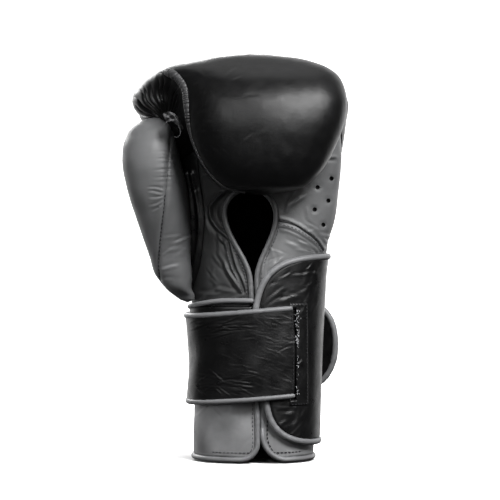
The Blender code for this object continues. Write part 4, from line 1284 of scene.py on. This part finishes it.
def build_lining():
    """The cloth bag for the hand, the padding round it and the bar that the fingers grip."""
    around = full_turn(120)[None, :]
    heights = steps(0.003, 0.2365, 2.5 * MM)[:, None]
    walls = []
    for out, rows in ((LINING_IN, heights[::-1]), (LINING_OUT, heights)):
        ruck = 0.5 * MM * np.sin(9 * around + 30 * rows) * np.sin(rows * 95)
        walls.append(on_tube(rows, around, out + ruck))
    middle = walls[1][-1].mean(axis=0)

    def lid(ring, share, lift):
        closer = (middle + (ring - middle) * share) * (1, 1, 0)
        return [closer + (0, 0, middle[2] + lift * MM)]

    inner, outer = walls[0][0], walls[1][-1]
    # The lid's last ring is drawn in from the one before it.
    wide = lid(outer, 0.6, 1.2)
    rings = np.concatenate([
        lid(inner, 0.25, 0.2), lid(inner, 0.6, -0.2), *walls, wide, lid(wide[0], 0.25, 1.8),
    ])
    bag = piece("lining_bag", rings, ring_faces(len(rings), 120), LINING, "mitt", ("hand_lining",))
    carve(bag, slit_tool(0.0115), tunnel_tool())
    wrist = skin(
        "wrist_padding", steps(0.0060, 0.1168, 2 * MM),
        lambda h: front_turn(h, slit_middle(h) + slit_half(h)),
        lambda h: 2 * math.pi + front_turn(h, slit_middle(h) - slit_half(h)), 130,
        None, FOAM, "mitt", ("wrist_foam",), PADDING_OUT, PADDING_THICK,
    )
    palm = skin(
        "palm_padding", steps(0.1174, 0.2395, 2 * MM), -0.95 * SIDE, 0.95 * SIDE, 70,
        None, FOAM, "mitt", ("palm_foam",), PADDING_OUT, PADDING_THICK,
    )
    carve(palm, slit_tool(0.05), tunnel_tool())
    line = np.array([(x, *GRIP_PLACE) for x in np.linspace(GRIP_LEFT, GRIP_RIGHT, 40)])
    ups = np.broadcast_to((0.0, 0.0, 1.0), line.shape)
    piping("grip_roll", line, ups, GRIP_RADIUS, CREASED, "mitt", ("grip_bar",), seed=8, wrinkle=0.012)


# ---------------------------------------------------------------- wings

WING_RIB = route(((0.0518, 0.1180), (0.0520, 0.0900), (0.0518, 0.0600), (0.0512, 0.0430)))


def slot_pull(x, z):
    """The dip where the stitching pulls the wing in round the slot."""
    upright = ease((z - 0.04) / 0.01) * ease((0.12 - z) / 0.01)
    return -0.3 * MM * np.exp(-((x - 0.0440) / 0.010) ** 2) * upright


WING_RELIEF = folded(((WING_RIB, 0.9 * MM, 0.7 * MM, 0.08),), (
    (81, 16, ((0.026, 0.114), (0.060, 0.146)), 25, 24, 13 * MM, 0.30 * MM),
    (82, 14, ((0.050, 0.085), (0.060, 0.145)), 70, 18, 11 * MM, 0.30 * MM),
    (83, 12, ((0.030, 0.018), (0.058, 0.045)), 40, 20, 11 * MM, 0.30 * MM),
    (84, 8, ((0.030, 0.030), (0.045, 0.048)), 10, 12, 7 * MM, 0.30 * MM),
), slot_pull)
PATCH_RELIEF = folded((), ((91, 16, ((0.038, 0.045), (0.050, 0.115)), 80, 30, 5 * MM, 0.35 * MM),))


def build_right_wing():
    """The padded wing that closes over the slit, with the slot that the strap comes out of."""
    half = WING_HALF - WING_INSET
    ends_close = np.cos(np.linspace(0.004, math.pi - 0.004, int(2 * half / MM)))
    wing = skin(
        "wing_leather", WING_MIDDLE - half * ends_close, lambda h: wing_turn(h, WING_INSET), WING_ROOT, 76,
        WING_RELIEF, CREASED, "right_wing", ("wing_cover", "wing_foam"), WING_OUT, WING_THICK, 2.0 * MM,
    )
    slot_low, slot_high = (SLOT_LEFT, -0.060, SLOT_LOW), (SLOT_RIGHT, -0.005, SLOT_HIGH)
    carve(wing, block("slot", slot_low, slot_high))
    rows = WING_MIDDLE - WING_HALF * np.cos(np.linspace(0, math.pi, 260))
    edge = resample(*tube_line(rows, wing_turn(rows), WING_EDGE_OUT))
    piping(
        "wing_edge_binding", *edge, WIDE_EDGE_RADIUS, BOUND, "right_wing", ("wing_binding",), seed=9,
    )
    patch = skin(
        "slot_patch_leather", steps(0.0420, 0.1170),
        lambda h: front_turn(h, 0.0380), lambda h: front_turn(h, 0.0500), 30,
        PATCH_RELIEF, CREASED, "right_wing", ("strap_slot_frame",), PATCH_OUT, PATCH_THICK, 0.9 * MM,
    )
    carve(patch, block("slot", slot_low, slot_high))
    corners = [(0.0388, 0.0430), (0.0490, 0.0430), (0.0490, 0.1160), (0.0388, 0.1160)]
    box = front_line(even(np.array(corners + corners[:1]), MM), PATCH_OUT + 0.05 * MM)
    stitches("slot_stitches", *box, BLACK_THREAD, "right_wing", 1.7 * MM, 2.5 * MM, 0.34 * MM)
    z, x = np.meshgrid(
        np.linspace(SLOT_LOW + 0.8 * MM, SLOT_HIGH - 0.8 * MM, 70),
        np.linspace(SLOT_LEFT + 0.3 * MM, SLOT_RIGHT - 0.3 * MM, 10), indexing="ij",
    )
    face = on_front(x, z, SEWN_OUT + 0.5 * MM * np.sin(z * 2100 + 3 * np.sin(x * 2000)))
    under = on_front(x, z, SEWN_IN)
    sheet("strap_sewn_end", under, face, CREASED, "right_wing", ("strap_anchor",))
    build_painted_glints()


def build_painted_glints():
    """Short pale rods along the strap's sewn end, whose pale colour paints in glints there."""
    random = np.random.default_rng(17)
    ups = np.tile((1.0, 0.2, 0.0), (4, 1))
    runs = []
    for _ in range(64):
        z = random.choice((random.uniform(0.049, 0.111), random.normal(0.092, 0.008)))
        z = min(max(z, 0.0480), 0.1110)
        x = 0.0430 + random.normal(0, 0.0006)
        start = on_front(np.array([x]), np.array([z]), 6.0 * MM)[0]
        way = np.array([random.normal(0, 0.5), -0.5, random.normal(0, 1.0)])
        way *= random.uniform(0.4, 1.1) * MM / np.linalg.norm(way)
        line = start + np.linspace(-1, 1, 4)[:, None] * way
        runs.append(sweep_points(line, 0.17 * MM, 0.17 * MM, ups, 5))
    rods("slot_painted_glints", runs, 5, GLINT_SPECKS, "right_wing")


def build_left_wing():
    """The thin wing under the strap, whose piped top edge shows above it."""
    shy = 2.7 * MM
    skin(
        "underlay_leather", steps(UNDERLAY_LOW, UNDERLAY_HIGH - 2.0 * MM), -0.96 * SIDE,
        lambda h: wing_turn(h) - shy * TURN_PER_METRE, 60,
        None, CREASED, "left_wing", ("underlay_wing",), UNDERLAY_OUT, UNDERLAY_THICK,
    )
    turns = np.linspace(-0.86 * SIDE, wing_turn(UNDERLAY_HIGH) - 3.9 * MM * TURN_PER_METRE, 90)
    # The top edge falls towards the thumb side, and a little towards the right wing.
    left_fall = 5.0 * MM * ease((-turns - 0.45) / 1.0)
    right_fall = 1.5 * MM * ease((turns + 0.1) / 0.4)
    heights = UNDERLAY_HIGH + 2.0 * MM - left_fall - right_fall
    edge = resample(*tube_line(heights, turns, 2.0 * MM))
    piping(
        "underlay_edge_binding", *edge, UNDERLAY_EDGE, BOUND, "left_wing", ("underlay_binding",),
        seed=12,
    )


# ---------------------------------------------------------------- strap

def strap_out(turn):
    """How far the strap's inner face lies out from the tube: furthest where it crosses the wing."""
    over = front_turn(STRAP_MIDDLE, 0.016)
    down = front_turn(STRAP_MIDDLE, -0.006)
    return STRAP_ROUND_CUFF + (STRAP_OVER_WING - STRAP_ROUND_CUFF) * ease((turn - down) / (over - down))


def strap_place(turn, across, out):
    """Points of the strap where it lies on the tube."""
    middle = oval(smooth(TUBE, np.full(np.shape(turn), STRAP_MIDDLE)), turn, strap_out(turn))[0]
    return on_tube(STRAP_MIDDLE + STRAP_SLOPE * middle + across, turn, strap_out(turn) + out)


def leaving_way():
    """The way that the strap runs where it leaves the cuff."""
    before, after = (strap_place(TIP_LEAVES + step, 0.0, 0.0) for step in (0.02, -0.02))
    return (after - before) / np.linalg.norm((after - before)[:2])


LEAVING_WAY = leaving_way()


def strap_points(turn, run, across, out):
    """Points of the strap, or of its tip, which runs straight on from where it leaves the cuff."""
    turn, run, across, out = np.broadcast_arrays(turn, run, across, out)
    return strap_place(turn, across, out) + run[..., None] * LEAVING_WAY


def strap_line(turn, run, across, out=STRAP_THICK * 0.55):
    """A line along the strap, with the way out at each point."""
    spots = strap_points(turn, run, across, out)
    return spots, strap_points(turn, run, across, STRAP_THICK + MM) - spots


def tip_half(run, full, end):
    """Half the strap's width near its rounded tip."""
    left = np.clip((end - run) / TIP_ROUND, 0.0, 1.0)
    return full * np.maximum(1 - (1 - left) ** TIP_POWER, 0.0) ** (1 / TIP_POWER)


def tip_runs(end, start, count):
    """Places round the tip, closer together towards its end."""
    return end - TIP_ROUND * (1 - np.sin(np.linspace(start, math.pi / 2, count)))


def strap_lay(seed, length):
    """Creases of the strap's leather: all over, near the slot, and above and below the middle."""
    def soft(run, across):
        return 0.4 * MM * np.sin(run * 120 + 2.0 * np.sin(across * 60)) * np.cos(across * 70)
    everywhere = ((0.0, -STRAP_HALF), (length, STRAP_HALF))
    near_slot = ((0.002, -0.027), (0.026, 0.027))
    upper = ((0.034, 0.016), (0.080, 0.028))
    lower = ((0.030, -0.026), (0.074, -0.012))
    return folded((), (
        (seed, 46, everywhere, 16, 15, 12 * MM, 0.15 * MM, 0.5),
        (seed + 2, 60, near_slot, 22, 8, 11 * MM, 0.08 * MM, 0.45),
        (seed + 3, 26, upper, 174, 8, 16 * MM, 0.30 * MM, 0.5),
        (seed + 4, 34, lower, 12, 14, 13 * MM, 0.30 * MM, 0.5),
    ), soft)


def strap_sheet(name, turns, runs, half, seed, nodes):
    """One length of the strap's leather."""
    across = np.linspace(-1, 1, 100)[None, :] * half[:, None]
    turn, run = turns[:, None], runs[:, None]
    chord = chord_of(strap_points(turns, runs, 0.0, 0.0))
    lay = np.broadcast_to(chord[:, None], across.shape)
    relief = strap_lay(seed, chord[-1])(lay, across)
    flat_edge = ease((half[:, None] - np.abs(across)) / (5 * MM))
    outer = strap_points(turn, run, across, STRAP_THICK + relief * flat_edge)
    inner = strap_points(turn, run, across, STRAP_GAP)
    return sheet(name, inner, outer, CREASED, None, nodes)


def bend(thing, one, other, corner):
    """Bake a length of the strap's placement into its mesh."""
    reach = STRAP_BEND_REACH * TURN_PER_METRE
    ends = [strap_points(corner + way * reach, 0.0, 0.0, STRAP_THICK / 2) for way in (1, -1)]
    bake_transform(thing)


def build_strap():
    """The strap from its slot, round the thumb side and the back, to its rounded tip."""
    at_front = ("strap_root", "strap_wrap", FRONT_CORNER)
    at_back = ("strap_wrap", "strap_tail", BACK_CORNER)

    def front_turns(start, count):
        return np.linspace(float(front_turn(STRAP_MIDDLE, start)), SIDE_MIDDLE, count)

    turns = front_turns(0.0404, 190)
    half = np.full(len(turns), STRAP_LEATHER_HALF)
    nodes = ("strap_front", "strap_side")
    bend(strap_sheet("strap_leather_front", turns, np.zeros(len(turns)), half, 101, nodes), *at_front)
    for name, way, start in (("top", 1, 0.0392), ("bottom", -1, 0.0398)):
        edge = resample(*strap_line(front_turns(start, 130), 0.0, way * STRAP_HALF))
        nodes = (f"strap_front_piping_{name}", f"strap_side_piping_{name}")
        roll = piping(f"strap_edge_{name}", *edge, EDGE_RADIUS, BOUND, None, nodes, seed=14 + way)
        bend(roll, *at_front)

    end = TIP_RUN - 1.0 * MM
    round_cuff = np.linspace(SIDE_MIDDLE, TIP_LEAVES, 96)
    straight = np.linspace(0.001, end - TIP_ROUND - 0.001, 14)
    runs = np.concatenate([np.zeros(len(round_cuff)), straight, tip_runs(end, 0, 40)[:-2]])
    turns = np.concatenate([round_cuff, np.full(len(runs) - len(round_cuff), TIP_LEAVES)])
    half = tip_half(runs, STRAP_LEATHER_HALF, end)
    bend(strap_sheet("strap_leather_back", turns, runs, half, 111, ("strap_back",)), *at_back)
    runs = np.concatenate([runs[:-4], tip_runs(TIP_RUN, 1.30, 14)])
    turns = np.concatenate([round_cuff, np.full(len(runs) - len(round_cuff), TIP_LEAVES)])
    half = tip_half(runs, STRAP_HALF, TIP_RUN)
    upper, lower = (strap_line(turns, runs, way * half) for way in (1, -1))
    edge = resample(*(np.concatenate([top, bottom[-2::-1]]) for top, bottom in zip(upper, lower)))
    nodes = ("strap_tip_piping",)
    roll = piping("strap_tip_edge", *edge, WIDE_EDGE_RADIUS, BOUND, None, nodes, 0.9, seed=18)
    bend(roll, *at_back)

    hem_turn = float(front_turn(STRAP_MIDDLE, 0.0392))
    across = np.linspace(3 * MM - STRAP_LEATHER_HALF, STRAP_LEATHER_HALF - 3 * MM, 60)
    hem = strap_line(hem_turn, 0.0, across, STRAP_THICK + 0.2 * MM)
    stitches("strap_hem_stitches", *hem, BLACK_THREAD, "strap_root", 1.8 * MM, 2.6 * MM, 0.34 * MM)
    skin(
        "hook_tape_patch", steps(0.056, 0.104, 2 * MM), math.radians(157), math.radians(210), 30,
        None, HOOKS, "strap_tail", ("hook_patch",), 2.7 * MM, 0.9 * MM, 0.5 * MM,
    )


# ---------------------------------------------------------------- stage

# Each light has a name, a place, what it faces, its size, its power and what it stays out of.
LIGHTS = (
    ("key", (0.77, -1.08, 1.02), (0.02, -0.03, 0.20), (1.60, 0.85), 58.0, "visible_diffuse"),
    ("spot", (0.62, -1.02, 1.22), (0.02, -0.03, 0.18), (0.50, 0.45), 60.0, "visible_glossy"),
    ("fill", (-1.35, -0.25, 0.45), (-0.02, 0.0, 0.15), (0.40, 0.90), 11.0, "visible_glossy"),
    ("left", (-0.60, -1.30, 0.80), (-0.02, -0.03, 0.18), (0.60, 0.55), 5.0, None),
    ("back", (-0.55, 1.25, 0.80), (0.01, 0.05, 0.18), (1.30, 0.60), 20.0, None),
    ("top", (0.0, 0.10, 1.10), (0.0, 0.0, 0.2), (0.9, 0.5), 1.6, None),
    ("front", (-0.10, -1.50, 0.30), (0.0, 0.0, 0.10), (0.60, 0.60), 1.5, "visible_glossy"),
)
STAGE_SIDE, STAGE_BACK, STAGE_FLOOR, STAGE_TOP = 3, 2.0, -0.5, 3
WORLD_GLOW = 0.06
CUFF_CENTRE = (0.0137, 0.015, 0.0)
CAMERA_PLACE = (0.0111, -1.6, 0.1554)
CAMERA_LENS = 155.7
CAMERA_SENSOR = 36.0


def build_light(name, place, aim, size, power, hidden):
    """A soft rectangular light that faces a point."""
    light = bpy.data.lights.new(name, "AREA")
    light.shape = "RECTANGLE"
    light.size, light.size_y = size
    light.energy = power
    thing = bpy.data.objects.new(name, light)
    bpy.context.scene.collection.objects.link(thing)
    thing.location = place
    thing.rotation_euler = (Vector(aim) - Vector(place)).to_track_quat("-Z", "Y").to_euler()
    if hidden:
        setattr(thing, hidden, False)


def plane(name, corners, glossy=False):
    """A white surface of the stage, which glows and may show in the leather's shine."""
    made = tool(name, corners, [(0, 1, 2, 3)])
    material, nodes, shader = new_material(name)
    feed(shader, {
        "Base Color": (0.9, 0.9, 0.9, 1), "Roughness": 0.9,
        "Emission Color": (1, 1, 1, 1), "Emission Strength": FLOOR_GLOW,
    })
    made.data.materials.append(material)
    made.visible_diffuse = False
    made.visible_glossy = glossy
    return nodes, shader


def paint_floor_shadow(nodes, shader):
    """Fade the floor's glow out under the glove: a painted shadow round its foot, which also keeps any
    glow from showing up through the cuff.
    """
    place = nodes.new("ShaderNodeTexCoord")
    middle = nodes.new("ShaderNodeVectorMath")
    middle.operation = "DISTANCE"
    feed(middle, {0: place.outputs["Object"], 1: CUFF_CENTRE})
    glow = ramp(nodes, middle.outputs["Value"], 0.0, FLOOR_GLOW, 0.050, 0.100)
    feed(shader, {"Emission Strength": glow})


def build_stage():
    """A pale floor with a painted shadow under the glove, a backdrop and walls, soft lights and a long
    lens.
    """
    side, back = STAGE_SIDE, STAGE_BACK
    ground = ((-side, -side), (side, -side), (side, back), (-side, back))
    paint_floor_shadow(*plane("floor", [(*spot, FLOOR_DOWN) for spot in ground]))

    def wall(name, one, other, glossy=False):
        upright = ((one, STAGE_FLOOR), (other, STAGE_FLOOR), (other, STAGE_TOP), (one, STAGE_TOP))
        plane(name, [(*spot, height) for spot, height in upright], glossy)

    front_left, front_right, back_right, back_left = ground
    wall("backdrop", back_left, back_right, True)
    wall("wall_1", back_left, front_left)
    wall("wall_2", front_left, front_right)
    wall("wall_3", front_right, back_right)
    world = bpy.data.worlds.new("studio")
    bpy.context.scene.world = world
    world.use_nodes = True
    background = world.node_tree.nodes["Background"]
    feed(background, {"Color": (1, 1, 1, 1), "Strength": WORLD_GLOW})
    for row in LIGHTS:
        build_light(*row)
    camera = bpy.data.cameras.new("camera")
    camera.lens = CAMERA_LENS
    camera.sensor_width = CAMERA_SENSOR
    camera.clip_end = 50
    thing = bpy.data.objects.new("camera", camera)
    bpy.context.scene.collection.objects.link(thing)
    thing.location = CAMERA_PLACE
    thing.rotation_euler = (math.pi / 2, 0, 0)
    bpy.context.scene.camera = thing
    bpy.context.scene.view_settings.view_transform = "Standard"


build_curl_rim(build_fist())
build_lock_tab()
build_thumb()
build_palm()
build_bindings()
build_cuff()
build_lining()
build_right_wing()
build_left_wing()
build_strap()
build_stage()
